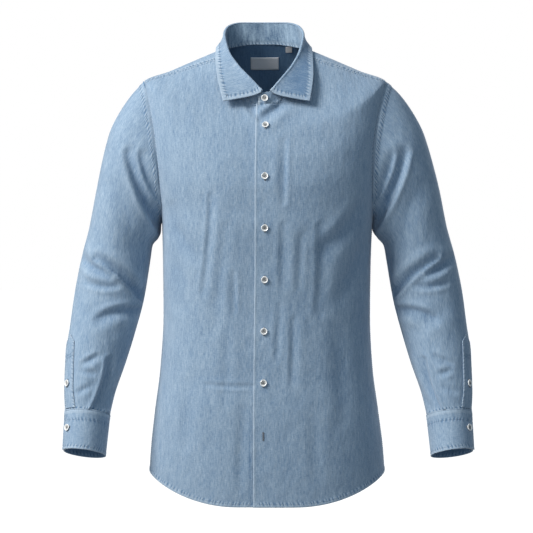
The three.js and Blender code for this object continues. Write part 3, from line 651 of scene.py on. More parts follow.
@dataclass(frozen=True)
class CollarForm:
    """The stand and the leaf, from -1 at the wearer's right front end to 1 at the left one."""

    roll_radius: float = 2.4
    seam: float = 0.6
    lap: float = 0.2
    lap_angle: float = math.radians(15)
    front_height: float = 20.0
    lean: float = 2.0
    tuck: float = 2.3
    tuck_blend: float = 0.35
    step: float = 0.01
    lap_drop: float = 0.4
    front_start: float = 0.85
    front_blend: float = 0.15
    leaf_seat: float = 2.0
    leaf_round: float = 0.45

    def station(self, share: Array) -> dict[str, Array]:
        """The collar's sizes at shares of its half.

        Args:
            share: 0 at a front end to 1 at the centre back.

        Returns:
            The neck angle, the shift, the roll line and the free edge.
        """
        place = share * STATIONS.last
        read = {name: STATIONS.read(name, place) for name in STATIONS.names}
        return {
            "angle": np.radians(read["neck_angle"]),
            "shift": read["shift"],
            "roll": stack(read["roll_x"], read["roll_y"], read["roll_z"]),
            "edge": stack(read["edge_x"], read["edge_y"], read["edge_z"]),
        }

    def frame(self, along: Array) -> dict[str, Array]:
        """The roll line, free edge, neck angle and directions at places along the collar.

        Args:
            along: -1 at the wearer's right front end to 1 at the left one.

        Returns:
            The lines and directions by name.
        """
        sign = np.where(along < 0, -1.0, 1.0)
        share = 1 - np.abs(along)
        here = self.station(share)
        near = self.station(np.maximum(share - self.step, 0))["roll"]
        far = self.station(np.minimum(share + self.step, 1))["roll"]
        run = unit(far - near)
        outwards = unit(stack(run[..., 1], -run[..., 0], np.zeros_like(share)))
        rise = -np.cross(run, outwards)
        mirror = stack(sign, np.ones_like(sign), np.ones_like(sign))
        shift = stack(here["shift"], np.zeros_like(sign), np.zeros_like(sign))
        return {
            "roll": here["roll"] * mirror + shift,
            "edge": here["edge"] * mirror + shift,
            "angle": mirror_angle(here["angle"], sign),
            "outwards": outwards * mirror,
            "rise": rise * mirror,
        }

    def on_stand(self, up: Array, along: Array, lift: Array | float = 0.0) -> tuple[Array, Array]:
        """Places on the stand, moved out.

        Args:
            up: 0 at the neck seam to 1 at the roll line.
            along: places along the collar, past 1 where it laps.
            lift: how far the points move out.

        Returns:
            The points and their normals.
        """
        up, along = np.broadcast_arrays(np.asarray(up, float), np.asarray(along, float))
        held = np.clip(along, -1, 1)
        here = self.frame(held)
        past = np.abs(along) - np.abs(held)
        sign = np.where(along < 0, -1.0, 1.0)
        lapped = past / self.lap
        angle = here["angle"] - sign * lapped * self.lap_angle
        base = BODY.plain(angle, np.full(angle.shape, float(NECK)))
        base[..., 2] += self.seam
        height = self.front_height * (1 - self.lap_drop * lapped**2)
        front_top = base + stack(np.zeros_like(height), np.full(height.shape, -self.lean), height)
        top = np.where((past > 0)[..., None], front_top, here["roll"])
        point = mix(base, top, up[..., None])
        tuck = 1 - smooth((along + 1) / self.tuck_blend)
        ahead = smooth((np.abs(along) - self.front_start) / self.front_blend)[..., None]
        lean = np.full(angle.shape, self.lean / self.front_height)
        facing = stack(np.cos(angle), np.sin(angle), lean)
        normals = unit(mix(here["outwards"], facing, ahead))
        return point + normals * (np.asarray(lift, float) - tuck * self.tuck)[..., None], normals

    def on_leaf(self, row: Array, along: Array) -> Array:
        """Points on the leaf.

        Args:
            row: 0 to 1 over the roll line, then to 2 at the free edge.
            along: places along the collar.

        Returns:
            The points.
        """
        here = self.frame(along)
        bend = mix(math.pi, 0, np.minimum(row, 1))[..., None]
        folded = here["roll"] + here["rise"] * (self.seam + np.sin(bend) * self.roll_radius)
        seat = (1 + np.cos(bend)) * self.roll_radius - self.leaf_seat
        folded = folded + here["outwards"] * seat
        fall = np.maximum(row - 1, 0)[..., None]
        control = folded.copy()
        control[..., 2] += (here["edge"][..., 2] - folded[..., 2]) * self.leaf_round
        first = mix(folded, control, fall)
        return mix(first, mix(control, here["edge"], fall), fall)


COLLAR = CollarForm()


# Cloth made from grids


@dataclass(frozen=True)
class Seam:
    """How one edge of a piece of cloth is sewn.

    The band is the doubled cloth along the edge, which stands up by its rise. Puckers have a
    depth and a usual pitch, and the rows are topstitching at distances from the edge.
    """

    side: Side
    band: float = 8.0
    rise: float = 0.5
    pucker: float = 0.5
    pitch: float = 9.0
    rows: tuple[float, ...] = ()
    ends: tuple[float, float] = (3.0, 3.0)
    paling: float = 1.0
    bars: float = 1.0

    @property
    def stitch(self) -> float:
        """How far from the edge the puckers centre, which is the last row of stitches."""
        return self.rows[-1] if self.rows else self.band / 2


@dataclass(frozen=True)
class Sewing:
    """How sewing shapes the cloth beside its edges, with distances in millimetres."""

    band_fade: float = 3.0
    bar_share: float = 0.2
    bar_reach: float = 1.6
    slant: float = 0.35
    seam_shift: float = 137.0
    pucker_start: float = 0.6
    pucker_fade: float = 0.9
    pucker_share: float = 0.45
    first_seed: float = 0.6
    seed_step: float = 1.7
    stitch_dip: float = 0.4
    stitch_reach: float = 1.3


SEWING = Sewing()


class ClothGrid:
    """A sheet of cloth held as rows and columns of points."""

    def __init__(self, points: Array, outwards: Array, closed: bool = False) -> None:
        """Keeps the points and works out their normals.

        Args:
            points: rows by columns by three, in millimetres.
            outwards: vectors on the side that shows.
            closed: whether the last column lies on the first.
        """
        self.points = points
        self.closed = closed
        self.normals = self._normals(outwards)
        # Painted shade: deeper colour in crease troughs, beside the lapped front edge, along the
        # placket bars and on the wearer's left collar leaf, and lighter colour on crease ridges
        self.painted_shade = np.zeros(points.shape[:2])
        self.rubbed = np.zeros(points.shape[:2])
        self.bars = np.zeros(points.shape[:2])
        self.seam_run = np.zeros(points.shape[:2])
        self.grain: tuple[Array, Array] | None = None

    def _normals(self, outwards: Array) -> Array:
        """The unit normals of the grid.

        Args:
            outwards: vectors that give the side, on the whole.

        Returns:
            The normals.
        """
        down = np.gradient(self.points, axis=0)
        if self.closed:
            ring = self.points[:, :-1]
            turn = (np.roll(ring, -1, axis=1) - np.roll(ring, 1, axis=1)) / 2
            across = np.concatenate([turn, turn[:, :1]], axis=1)
        else:
            across = np.gradient(self.points, axis=1)
        normals = unit(np.cross(down, across))
        return normals if np.sum(normals * outwards) > 0 else -normals

    def lengths(self, axis: int) -> Array:
        """The length of cloth from the first row or column to each point.

        Args:
            axis: 0 down the columns, 1 along the rows.

        Returns:
            The lengths, in millimetres.
        """
        pieces = np.linalg.norm(np.diff(self.points, axis=axis), axis=-1)
        start = np.zeros_like(np.take(pieces, [0], axis=axis))
        return np.concatenate([start, np.cumsum(pieces, axis=axis)], axis=axis)

    def from_side(self, side: Side) -> tuple[Array, Array]:
        """How far each point lies from an edge, and how far along it.

        Args:
            side: the edge.

        Returns:
            Distances from the edge and runs along it, in millimetres.
        """
        axis = 0 if side in (Side.FIRST_ROW, Side.LAST_ROW) else 1
        away = self.lengths(axis)
        last = side in (Side.LAST_ROW, Side.LAST_COLUMN)
        if last:
            away = np.take(away, [-1], axis=axis) - away
        run = np.take(self.lengths(1 - axis), [-1 if last else 0], axis=axis)
        return away, np.broadcast_to(run, away.shape)

    def inset(self, side: Side, gap: float, ends: tuple[float, float]) -> tuple[Array, Array]:
        """The line on the cloth at a distance from one of its edges.

        Args:
            side: the edge.
            gap: the distance.
            ends: lengths left off at the start and the end.

        Returns:
            Points along the line and their normals.
        """
        away, _ = self.from_side(side)
        points, normals = self.points, self.normals
        if side in (Side.FIRST_COLUMN, Side.LAST_COLUMN):
            away, points, normals = away.T, points.swapaxes(0, 1), normals.swapaxes(0, 1)
        if side in (Side.LAST_ROW, Side.LAST_COLUMN):
            away, points, normals = away[::-1], points[::-1], normals[::-1]
        above = np.clip(np.argmax(away >= gap, axis=0), 1, len(away) - 1)
        column = np.arange(away.shape[1])
        low, high = away[above - 1, column], away[above, column]
        share = ((gap - low) / np.maximum(high - low, 1e-9))[:, None]
        line = mix(points[above - 1, column], points[above, column], share)
        facing = unit(mix(normals[above - 1, column], normals[above, column], share))
        run = np.concatenate([[0], np.cumsum(np.linalg.norm(np.diff(line, axis=0), axis=1))])
        kept = (run >= ends[0]) & (run <= run[-1] - ends[1])
        return line[kept], facing[kept]

    def sew(self, seams: Sequence[Seam]) -> None:
        """Raises the seams' bands and puckers the cloth beside them.

        Args:
            seams: the seams round the piece.
        """
        lift = np.zeros(self.points.shape[:2])
        nearest = np.full(self.points.shape[:2], np.inf)
        for order, seam in enumerate(seams):
            away, run = self.from_side(seam.side)
            closer = away < nearest
            nearest = np.where(closer, away, nearest)
            width = SEWING.bar_share * seam.band + SEWING.bar_reach
            reach = np.exp(-(((away - seam.stitch) / width) ** 2))
            self.bars = np.where(closer, reach * seam.bars, self.bars)
            slanted = run + SEWING.slant * (away - seam.stitch) + SEWING.seam_shift * order
            self.seam_run = np.where(closer, slanted, self.seam_run)
            band = 1 - smooth((away - seam.band) / SEWING.band_fade)
            past = np.maximum(away - seam.band * SEWING.pucker_start, 0)
            fade = np.exp(-((past / (seam.band * SEWING.pucker_fade)) ** 2))
            seed = SEWING.seed_step * order + SEWING.first_seed
            wave = waver(run + SEWING.slant * away, seam.pitch, seed)
            lift = lift + band * seam.rise + fade * seam.pucker * SEWING.pucker_share * wave
            self.rubbed = np.maximum(self.rubbed, band * seam.paling)
            for gap in seam.rows:
                dip = np.exp(-(((away - gap) / SEWING.stitch_reach) ** 2))
                lift = lift - SEWING.stitch_dip * dip
        self.points = self.points + self.normals * lift[..., None]


def linked(name: str, data: bpy.types.ID) -> bpy.types.Object:
    """Puts data into the scene as an object at the origin.

    Args:
        name: the object's name.
        data: its mesh, curve, light or camera.

    Returns:
        The object.
    """
    item = bpy.data.objects.new(name, data)
    bpy.context.scene.collection.objects.link(item)
    return item


@dataclass(frozen=True)
class Cut:
    """A sheet's flat size, in metres, and its area where it isn't a rectangle."""

    width: float
    length: float
    area: float | None = None


class ClothPiece:
    """Turns a grid of cloth into a Blender object with its weave map, its wear and its painted shade.
    """

    def __init__(self, name: str, grid: ClothGrid, thickness: float = CLOTH) -> None:
        """Makes the object.

        Args:
            name: the piece's name.
            grid: its cloth.
            thickness: of the shell, in millimetres.
        """
        self.name = name
        self.grid = grid
        self.object = self._mesh(thickness)

    def _mesh(self, thickness: float) -> bpy.types.Object:
        """Places an operator's grid on the cloth's points and gives it a thickness.

        Args:
            thickness: of the shell, in millimetres.

        Returns:
            The linked object.
        """
        rows, columns = self.grid.points.shape[:2]
        sheet = bmesh.new()
        bmesh.ops.create_grid(sheet, x_segments=columns - 1, y_segments=rows - 1, size=0.5)
        mesh = bpy.data.meshes.new(self.name)
        sheet.to_mesh(mesh)
        sheet.free()
        flat = np.zeros(len(mesh.vertices) * 3)
        mesh.vertices.foreach_get("co", flat)
        flat = flat.reshape(-1, 3)
        column = np.rint((flat[:, 0] + 0.5) * (columns - 1)).astype(int)
        row = np.rint((flat[:, 1] + 0.5) * (rows - 1)).astype(int)
        mesh.vertices.foreach_set("co", (self.grid.points[row, column] * MM).ravel())
        self._weave_map(mesh, row, column)
        # The painted shade, the rubbed wear and the pucker bars go to the shader as attributes
        shares = {"painted_shade": self.grid.painted_shade, "rubbed": self.grid.rubbed, "bars": self.grid.bars}
        for name, values in shares.items():
            layer = mesh.attributes.new(name, "FLOAT", "POINT")
            layer.data.foreach_set("value", values[row, column].astype(np.float32))
        self._close(mesh)
        item = linked(self.name, mesh)
        shell = item.modifiers.new("cloth", "SOLIDIFY")
        shell.thickness = thickness * MM
        shell.offset = -1
        shell.material_offset = 1
        return item

    def _weave_map(self, mesh: bpy.types.Mesh, row: Array, column: Array) -> None:
        """Lays out the cloth's grain and the runs of its seams as UV maps, in metres.

        Args:
            mesh: the piece's mesh.
            row: each vertex's row.
            column: each vertex's column.
        """
        across, along = self.grid.grain or self._lengths()
        corner = np.zeros(len(mesh.loops), int)
        mesh.loops.foreach_get("vertex_index", corner)
        for name, u, v in (("weave", across, along), ("seam", self.grid.seam_run, along)):
            layer = mesh.uv_layers.new(name=name)
            places = np.stack([u[row, column], v[row, column]], axis=1)[corner] * MM
            layer.data.foreach_set("uv", places.ravel())

    def _lengths(self) -> tuple[Array, Array]:
        """The cloth's own lengths across and along, with the middle row's for every row.

        Returns:
            Places across and along, in millimetres.
        """
        middle = self.grid.points.shape[0] // 2
        across = self.grid.lengths(1)[middle]
        return np.broadcast_to(across, self.grid.points.shape[:2]), self.grid.lengths(0)

    def _close(self, mesh: bpy.types.Mesh) -> None:
        """Merges a closed grid's seam and turns the faces outwards.

        Args:
            mesh: the piece's mesh.
        """
        sheet = bmesh.new()
        sheet.from_mesh(mesh)
        if self.grid.closed:
            bmesh.ops.remove_doubles(sheet, verts=sheet.verts, dist=1e-6)
        sheet.normal_update()
        sheet.faces.ensure_lookup_table()
        middle = sheet.faces[len(sheet.faces) // 2]
        points = self.grid.points.reshape(-1, 3)
        centre = np.array(middle.calc_center_median()) / MM
        nearest = int(np.argmin(np.sum((points - centre) ** 2, axis=1)))
        if float(np.dot(np.array(middle.normal), self.grid.normals.reshape(-1, 3)[nearest])) < 0:
            bmesh.ops.reverse_faces(sheet, faces=sheet.faces)
        for face in sheet.faces:
            face.smooth = True
        sheet.to_mesh(mesh)
        sheet.free()

    def dress(self, outside: Material, inside: Material) -> None:
        """Gives the cloth its outer and inner finish."""
        self.object.data.materials.append(outside)
        self.object.data.materials.append(inside)

    def declare(
        self, node: str, cut: Cut, hold: Hold, slot: str = "denim"
    ) -> None:
        """Hangs the piece from the root and hides the solid that it replaces.

        Args:
            node: the solid that it replaces.
            cut: its flat size; not used.
            hold: how it is held; not used.
            slot: its material slot; not used.
        """
        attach(self.object, "root")
        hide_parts(node)


# An arched stitch: a share of its length, its lift in millimetres and its share of the width
STITCH_SHAPE = ((0.0, -0.35, 0.6), (0.25, 0.1, 1.0), (0.75, 0.1, 1.0), (1.0, -0.35, 0.6))


@dataclass
class Thread:
    """Sewing thread laid as separate stitches, gathered into one mesh."""

    name: str
    pitch: float = 3.3
    length: float = 2.5
    radius: float = 0.34
    sunk: float = 0.12
    paths: list[tuple[Array, Array]] = field(default_factory=list)

    def sew(self, path: tuple[Array, Array]) -> None:
        """Adds a row of stitches along points with normals."""
        if len(path[0]) > 2:
            self.paths.append(path)

    def topstitch(self, grid: ClothGrid, seams: Sequence[Seam]) -> None:
        """Sews every row of stitches of a grid's seams.

        Args:
            grid: the sewn cloth.
            seams: its seams.
        """
        for seam in seams:
            for gap in seam.rows:
                self.sew(grid.inset(seam.side, gap, seam.ends))

    def build(self, finish: Material) -> bpy.types.Object:
        """Makes all the stitches.

        Args:
            finish: the thread's material.

        Returns:
            The joined mesh object.
        """
        curve = bpy.data.curves.new(self.name, "CURVE")
        curve.dimensions = "3D"
        curve.bevel_depth = self.radius * MM
        curve.bevel_resolution = 0
        curve.use_fill_caps = True
        for line, normals in self.paths:
            self._row(curve, line, normals)
        return meshed(self.name, curve, finish)

    def _row(self, curve: bpy.types.Curve, line: Array, normals: Array) -> None:
        """Lays one row of stitches as short arched splines.

        Args:
            curve: the curve that takes them.
            line: points along the row.
            normals: the cloth's normals there.
        """
        run = np.concatenate([[0], np.cumsum(np.linalg.norm(np.diff(line, axis=0), axis=1))])
        starts = np.arange(0, run[-1] - self.length, self.pitch)
        for start in starts:
            spline = curve.splines.new("POLY")
            spline.points.add(len(STITCH_SHAPE) - 1)
            for point, (share, lift, size) in zip(spline.points, STITCH_SHAPE):
                place = start + share * self.length
                at = np.array([np.interp(place, run, line[:, k]) for k in range(3)])
                up = np.array([np.interp(place, run, normals[:, k]) for k in range(3)])
                at = (at + up * (lift - self.sunk + self.radius)) * MM
                point.co = (*at, 1)
                point.radius = size


def meshed(name: str, curve: bpy.types.Curve, finish: Material) -> bpy.types.Object:
    """Turns a curve into a mesh object at the origin.

    Args:
        name: the object's name.
        curve: the curve, which is used up.
        finish: its material.

    Returns:
        The mesh object.
    """
    carrier = linked(name + "_line", curve)
    bpy.context.view_layer.update()
    shaped = carrier.evaluated_get(bpy.context.evaluated_depsgraph_get())
    mesh = bpy.data.meshes.new_from_object(shaped)
    bpy.data.objects.remove(carrier)
    bpy.data.curves.remove(curve)
    mesh.name = name
    mesh.materials.clear()
    mesh.materials.append(finish)
    return linked(name, mesh)


# Finishes


# Layers of noise on the cloth, each with its waves a metre, its detail and its strength
Layers = tuple[tuple[Triple, float, float], ...]
NOISE_MIDDLE = 0.5
THREADS: Layers = (
    ((520, 52, 1), 1.0, 1.0),
    ((900, 150, 1), 1.0, 1.1),
    ((170, 800, 1), 1.0, 0.75),
    ((1000, 900, 1), 1.0, 0.9),
)
CLOUDS: Layers = (((24, 14, 1), 2.0, 0.55), ((120, 22, 1), 1.0, 0.5))
CRUMPLES: Layers = (((42, 28, 1), 2.0, 1.0), ((120, 80, 1), 1.0, 0.25))

# The puckers along seams: how uneven they run and stand, their paling, which is wear with a painted
# highlight, and their relief
PUCKER_BEAT = (55.0, 16.0)
PUCKER_PATCHES = (60.0, 2.0)
PUCKER_WEAR_AND_HIGHLIGHT = 0.2
PUCKER_RELIEF = 0.12

# The colour sockets of a Mix node, which go by their number because their names repeat
MIX_SHARE = 0
MIX_FIRST = 6
MIX_SECOND = 7
MIX_COLOUR = 2


class NodeSheet:
    """A short way to add and join shader nodes."""

    def __init__(self, tree: bpy.types.NodeTree) -> None:
        """Keeps the tree that the nodes go into."""
        self.tree = tree

    def add(self, kind: str, **settings: object) -> bpy.types.Node:
        """Adds a node and sets its properties.

        Args:
            kind: the node's type.
            settings: its properties.

        Returns:
            The node.
        """
        node = self.tree.nodes.new(kind)
        for name, value in settings.items():
            setattr(node, name, value)
        return node

    def join(self, start: Socket, end: Socket) -> None:
        """Joins two sockets."""
        self.tree.links.new(start, end)

    def feed(self, socket: Socket, value: object) -> None:
        """Joins a socket to another or sets its value.

        Args:
            socket: the socket that takes it.
            value: another socket, or a value.
        """
        if isinstance(value, Socket):
            self.join(value, socket)
        else:
            socket.default_value = value

    def maths(
        self, operation: str, first: object, second: object = 0.0, clamp: bool = False
    ) -> Socket:
        """Works out one or two values.

        Args:
            operation: what is done.
            first: a socket or a value.
            second: a socket or a value.
            clamp: whether the result stays between 0 and 1.

        Returns:
            The result's socket.
        """
        node = self.add("ShaderNodeMath", operation=operation, use_clamp=clamp)
        self.feed(node.inputs[0], first)
        self.feed(node.inputs[1], second)
        return node.outputs[0]

    def blend(self, share: object, first: object, second: object) -> Socket:
        """Mixes two colours.

        Args:
            share: how much of the second shows.
            first: a colour or its socket.
            second: a colour or its socket.

        Returns:
            The colour's socket.
        """
        node = self.add("ShaderNodeMix", data_type="RGBA")
        for index, value in ((MIX_SHARE, share), (MIX_FIRST, first), (MIX_SECOND, second)):
            self.feed(node.inputs[index], value)
        return node.outputs[MIX_COLOUR]

    def noise(self, place: Socket, scale: float = 1.0, detail: float = 2.0) -> Socket:
        """Adds soft noise.

        Args:
            place: the coordinates.
            scale: its waves a metre.
            detail: its fineness.

        Returns:
            The noise's socket.
        """
        node = self.add("ShaderNodeTexNoise")
        self.join(place, node.inputs["Vector"])
        node.inputs["Scale"].default_value = scale
        node.inputs["Detail"].default_value = detail
        return node.outputs["Fac"]

    def stretched(self, place: Socket, scale: Triple) -> Socket:
        """Stretches coordinates.

        Args:
            place: the coordinates.
            scale: the stretch along each axis.

        Returns:
            The new coordinates' socket.
        """
        node = self.add("ShaderNodeMapping")
        self.join(place, node.inputs["Vector"])
        node.inputs["Scale"].default_value = scale
        return node.outputs["Vector"]

    def layers(self, place: Socket, settings: Layers) -> Socket:
        """Adds up layers of stretched noise, each centred on 0.

        Args:
            place: the coordinates.
            settings: a scale, a detail and a strength for each layer.

        Returns:
            The sum's socket.
        """
        total = None
        for scale, detail, strength in settings:
            noise = self.noise(self.stretched(place, scale), detail=detail)
            layer = self.maths("MULTIPLY", self.maths("SUBTRACT", noise, NOISE_MIDDLE), strength)
            total = layer if total is None else self.maths("ADD", total, layer)
        return total


def new_group(
    name: str, inputs: dict[str, float], outputs: Sequence[str]
) -> tuple[bpy.types.NodeTree, NodeSheet]:
    """Starts a shader node group with float sockets.

    Args:
        name: the group's name.
        inputs: input names and their usual values.
        outputs: output names.

    Returns:
        The group and a sheet to add its nodes with.
    """
    tree = bpy.data.node_groups.new(name, "ShaderNodeTree")
    for label, value in inputs.items():
        socket = tree.interface.new_socket(label, in_out="INPUT", socket_type="NodeSocketFloat")
        socket.default_value = value
    for label in outputs:
        tree.interface.new_socket(label, in_out="OUTPUT", socket_type="NodeSocketFloat")
    return tree, NodeSheet(tree)


def weave_group() -> bpy.types.NodeTree:
    """Builds the slubbed weave: pale and dark warp streaks, soft mottling and thread relief.

    Returns:
        The group.
    """
    tree, nodes = new_group("slubbed weave", {"Streaks": 1.0, "Mottling": 1.0}, ("Shade", "Height"))
    entry, leave = nodes.add("NodeGroupInput"), nodes.add("NodeGroupOutput")
    place = nodes.add("ShaderNodeUVMap", uv_map="weave").outputs[0]
    threads = nodes.layers(place, THREADS)
    streaked = nodes.maths("MULTIPLY", threads, entry.outputs["Streaks"])
    mottle = nodes.maths("MULTIPLY", nodes.layers(place, CLOUDS), entry.outputs["Mottling"])
    total = nodes.maths("ADD", nodes.maths("ADD", streaked, mottle), NOISE_MIDDLE, clamp=True)
    nodes.join(total, leave.inputs["Shade"])
    nodes.join(threads, leave.inputs["Height"])
    return tree


def crumple_group() -> bpy.types.NodeTree:
    """Builds the small crumples of washed cloth, with uneven puckers along its seams, their crests
    paler and their hollows darker, partly wear and partly painted highlight and shade.

    Returns:
        The group.
    """
    inputs = {"Puckers": 1.0, "Pitch": 0.0065}
    tree, nodes = new_group("washed crumples", inputs, ("Height", "Wear_and_highlight", "Dark"))
    entry, leave = nodes.add("NodeGroupInput"), nodes.add("NodeGroupOutput")
    place = nodes.add("ShaderNodeUVMap", uv_map="weave").outputs[0]
    soft = nodes.layers(place, CRUMPLES)
    parts = nodes.add("ShaderNodeSeparateXYZ")
    nodes.join(nodes.add("ShaderNodeUVMap", uv_map="seam").outputs[0], parts.inputs[0])
    run = parts.outputs["X"]
    line = nodes.add("ShaderNodeCombineXYZ")
    nodes.join(run, line.inputs["X"])
    uneven = nodes.noise(line.outputs[0], PUCKER_BEAT[0], 1.0)
    beat = nodes.maths("MULTIPLY", uneven, PUCKER_BEAT[1])
    turns = nodes.maths("DIVIDE", nodes.maths("MULTIPLY", run, FULL_TURN), entry.outputs["Pitch"])
    wave = nodes.maths("SINE", nodes.maths("ADD", turns, beat))
    share = nodes.add("ShaderNodeAttribute", attribute_name="bars").outputs["Fac"]
    patches = nodes.noise(place, PUCKER_PATCHES[0], 1.0)
    patchy = nodes.maths("MULTIPLY", patches, PUCKER_PATCHES[1])
    swell = nodes.maths("MULTIPLY", nodes.maths("MULTIPLY", wave, patchy), share)
    puckers = nodes.maths("MULTIPLY", swell, entry.outputs["Puckers"])
    rubbed = nodes.add("ShaderNodeAttribute", attribute_name="rubbed").outputs["Fac"]
    # Paler pucker crests: wear, with a painted highlight
    pale = nodes.maths("MULTIPLY", puckers, PUCKER_WEAR_AND_HIGHLIGHT)
    wear_and_highlight = nodes.maths("ADD", pale, rubbed, clamp=True)
    relief = nodes.maths("MULTIPLY", puckers, PUCKER_RELIEF)
    nodes.join(nodes.maths("ADD", soft, relief), leave.inputs["Height"])
    nodes.join(wear_and_highlight, leave.inputs["Wear_and_highlight"])
    # Darker pucker hollows: wear, with painted shade
    nodes.join(nodes.maths("MULTIPLY", puckers, -1.0, clamp=True), leave.inputs["Dark"])
    return tree


class Groups:
    """The node groups that several finishes share, each built once."""

    def __init__(self) -> None:
        """Builds the groups."""
        self.weave = weave_group()
        self.crumple = crumple_group()


def new_material(name: str) -> tuple[Material, NodeSheet, bpy.types.Node]:
    """Starts a material.

    Args:
        name: its name.

    Returns:
        The material, a sheet for its nodes, and its main shader.
    """
    material = bpy.data.materials.new(name)
    material.use_nodes = True
    return material, NodeSheet(material.node_tree), material.node_tree.nodes["Principled BSDF"]


@dataclass(frozen=True)
class DenimFinish:
    """Washed denim: indigo warp streaks, paler where seams rub, painted shade in creases, pucker
    crests paler and hollows darker from wear and painted light and shade, and a soft matt face.
    """

    name: str
    deep: Triple
    pale: Triple
    wear_and_highlight: Triple
    streaks: float = 0.75
    mottling: float = 0.6
    roughness: float = 0.88
    sheen: float = 0.2
    gloss: float = 0.25
    puckers: float = 1.0
    weave_depth: float = 0.00015
    crumple_depth: float = 0.0016
    pucker_shade: float = 1.15

    def build(self, groups: Groups) -> Material:
        """Builds the material.

        Args:
            groups: the shared node groups.

        Returns:
            The material.
        """
        material, nodes, shader = new_material(self.name)
        weave = nodes.add("ShaderNodeGroup", node_tree=groups.weave)
        weave.inputs["Streaks"].default_value = self.streaks
        weave.inputs["Mottling"].default_value = self.mottling
        crumple = nodes.add("ShaderNodeGroup", node_tree=groups.crumple)
        crumple.inputs["Puckers"].default_value = self.puckers
        # Painted shade deepens the weave's colour in creases and other shaded places
        painted_shade = nodes.add("ShaderNodeAttribute", attribute_name="painted_shade").outputs["Fac"]
        shade = nodes.maths("SUBTRACT", weave.outputs["Shade"], painted_shade, clamp=True)
        cloth = nodes.blend(shade, (*self.deep, 1), (*self.pale, 1))
        # Rubbed wear, and a painted highlight on the pucker crests
        rubbed = nodes.blend(crumple.outputs["Wear_and_highlight"], cloth, (*self.wear_and_highlight, 1))
        # Painted shade in the pucker hollows, with their wear
        shaded = nodes.maths("MULTIPLY", crumple.outputs["Dark"], self.pucker_shade, clamp=True)
        nodes.join(nodes.blend(shaded, rubbed, (*self.deep, 1)), shader.inputs["Base Color"])
        shader.inputs["Roughness"].default_value = self.roughness
        shader.inputs["Sheen Weight"].default_value = self.sheen
        shader.inputs["Specular IOR Level"].default_value = self.gloss
        fine = nodes.add("ShaderNodeBump")
        fine.inputs["Distance"].default_value = self.weave_depth
        nodes.join(weave.outputs["Height"], fine.inputs["Height"])
        soft = nodes.add("ShaderNodeBump")
        soft.inputs["Distance"].default_value = self.crumple_depth
        nodes.join(crumple.outputs["Height"], soft.inputs["Height"])
        nodes.join(soft.outputs["Normal"], fine.inputs["Normal"])
        nodes.join(fine.outputs["Normal"], shader.inputs["Normal"])
        return material


@dataclass(frozen=True)
class PlainFinish:
    """A finish of one slightly uneven colour, such as thread, moulded resin or tape, with painted
    shade in a button's dish where a dish colour is given.
    """

    name: str
    dark: Triple
    light: Triple
    roughness: float
    grain: float = 900.0
    coat: float = 0.0
    relief: float = 0.00005
    # Painted shade in a button's dish
    dish: Triple | None = None

    def build(self) -> Material:
        """Builds the material.

        Returns:
            The material.
        """
        material, nodes, shader = new_material(self.name)
        place = nodes.add("ShaderNodeTexCoord").outputs["Object"]
        speck = nodes.noise(place, self.grain)
        colour = nodes.blend(speck, (*self.dark, 1), (*self.light, 1))
        # Painted shade over the marked dish
        if self.dish:
            sunk = nodes.add("ShaderNodeAttribute", attribute_name="dish").outputs["Fac"]
            colour = nodes.blend(sunk, colour, (*self.dish, 1))
        nodes.join(colour, shader.inputs["Base Color"])
        shader.inputs["Roughness"].default_value = self.roughness
        shader.inputs["Coat Weight"].default_value = self.coat
        bump = nodes.add("ShaderNodeBump")
        bump.inputs["Distance"].default_value = self.relief
        nodes.join(speck, bump.inputs["Height"])
        nodes.join(bump.outputs["Normal"], shader.inputs["Normal"])
        return material


class Finishes:
    """Every material of the shirt, built once."""

    def __init__(self) -> None:
        """Builds the materials."""
        groups = Groups()
        pale, wear_and_highlight = (0.37, 0.48, 0.59), (0.46, 0.56, 0.65)
        self.denim = DenimFinish("washed denim", (0.11, 0.20, 0.33), pale, wear_and_highlight).build(groups)
        self.band = DenimFinish(
            "inside band denim", (0.05, 0.11, 0.20), (0.33, 0.45, 0.57), wear_and_highlight, mottling=1.9
        ).build(groups)
        # A darker copy of the denim for the inner side: painted shade inside the shirt
        self.inside = DenimFinish(
            "inner denim",
            (0.08, 0.175, 0.32),
            (0.18, 0.31, 0.48),
            (0.26, 0.38, 0.52),
            roughness=0.95,
            sheen=0.0,
        ).build(groups)
        self.button = PlainFinish(
            "button resin",
            (0.80, 0.82, 0.82),
            (0.92, 0.93, 0.93),
            roughness=0.3,
            grain=300,
            coat=0.4,
            # Painted shade in the dish
            dish=(0.36, 0.37, 0.37),
        ).build()
        self.thread = PlainFinish(
            "sewing thread", (0.14, 0.23, 0.34), (0.30, 0.40, 0.52), roughness=0.7
        ).build()
        self.cord = PlainFinish(
            "button thread", (0.12, 0.115, 0.115), (0.26, 0.25, 0.25), roughness=0.8
        ).build()
        self.label = PlainFinish(
            "grey satin", (0.85, 0.89, 0.94), (0.93, 0.95, 0.98), roughness=0.32, grain=500
        ).build()
        self.tag = PlainFinish(
            "white tape", (0.93, 0.94, 0.95), (0.98, 0.98, 0.98), roughness=0.8
        ).build()


# The shirt's pieces


ROW_CHEST = 1.0
ROW_YOKE = 2.0
YOKE_FRONT_END = math.radians(66)
YOKE_BACK_END = math.radians(139)
YOKE_NECK_ANGLE = math.radians(-21)
YOKE_BACK_CENTRE = 10.1

# How cloth that goes round the side or over the shoulder lengthens against its x and y
SIDE_START = 90.0
SIDE_SHARE = 0.8
SHOULDER_STRETCH = (1.1, -1.3)

# Painted shade: how much deeper the colour gets with a crease's depth, and its ends on ridges (a
# painted highlight) and in troughs
CREASE_SHADE_SHARE = 0.035
CREASE_SHADE_ENDS = (-0.1, 0.25)


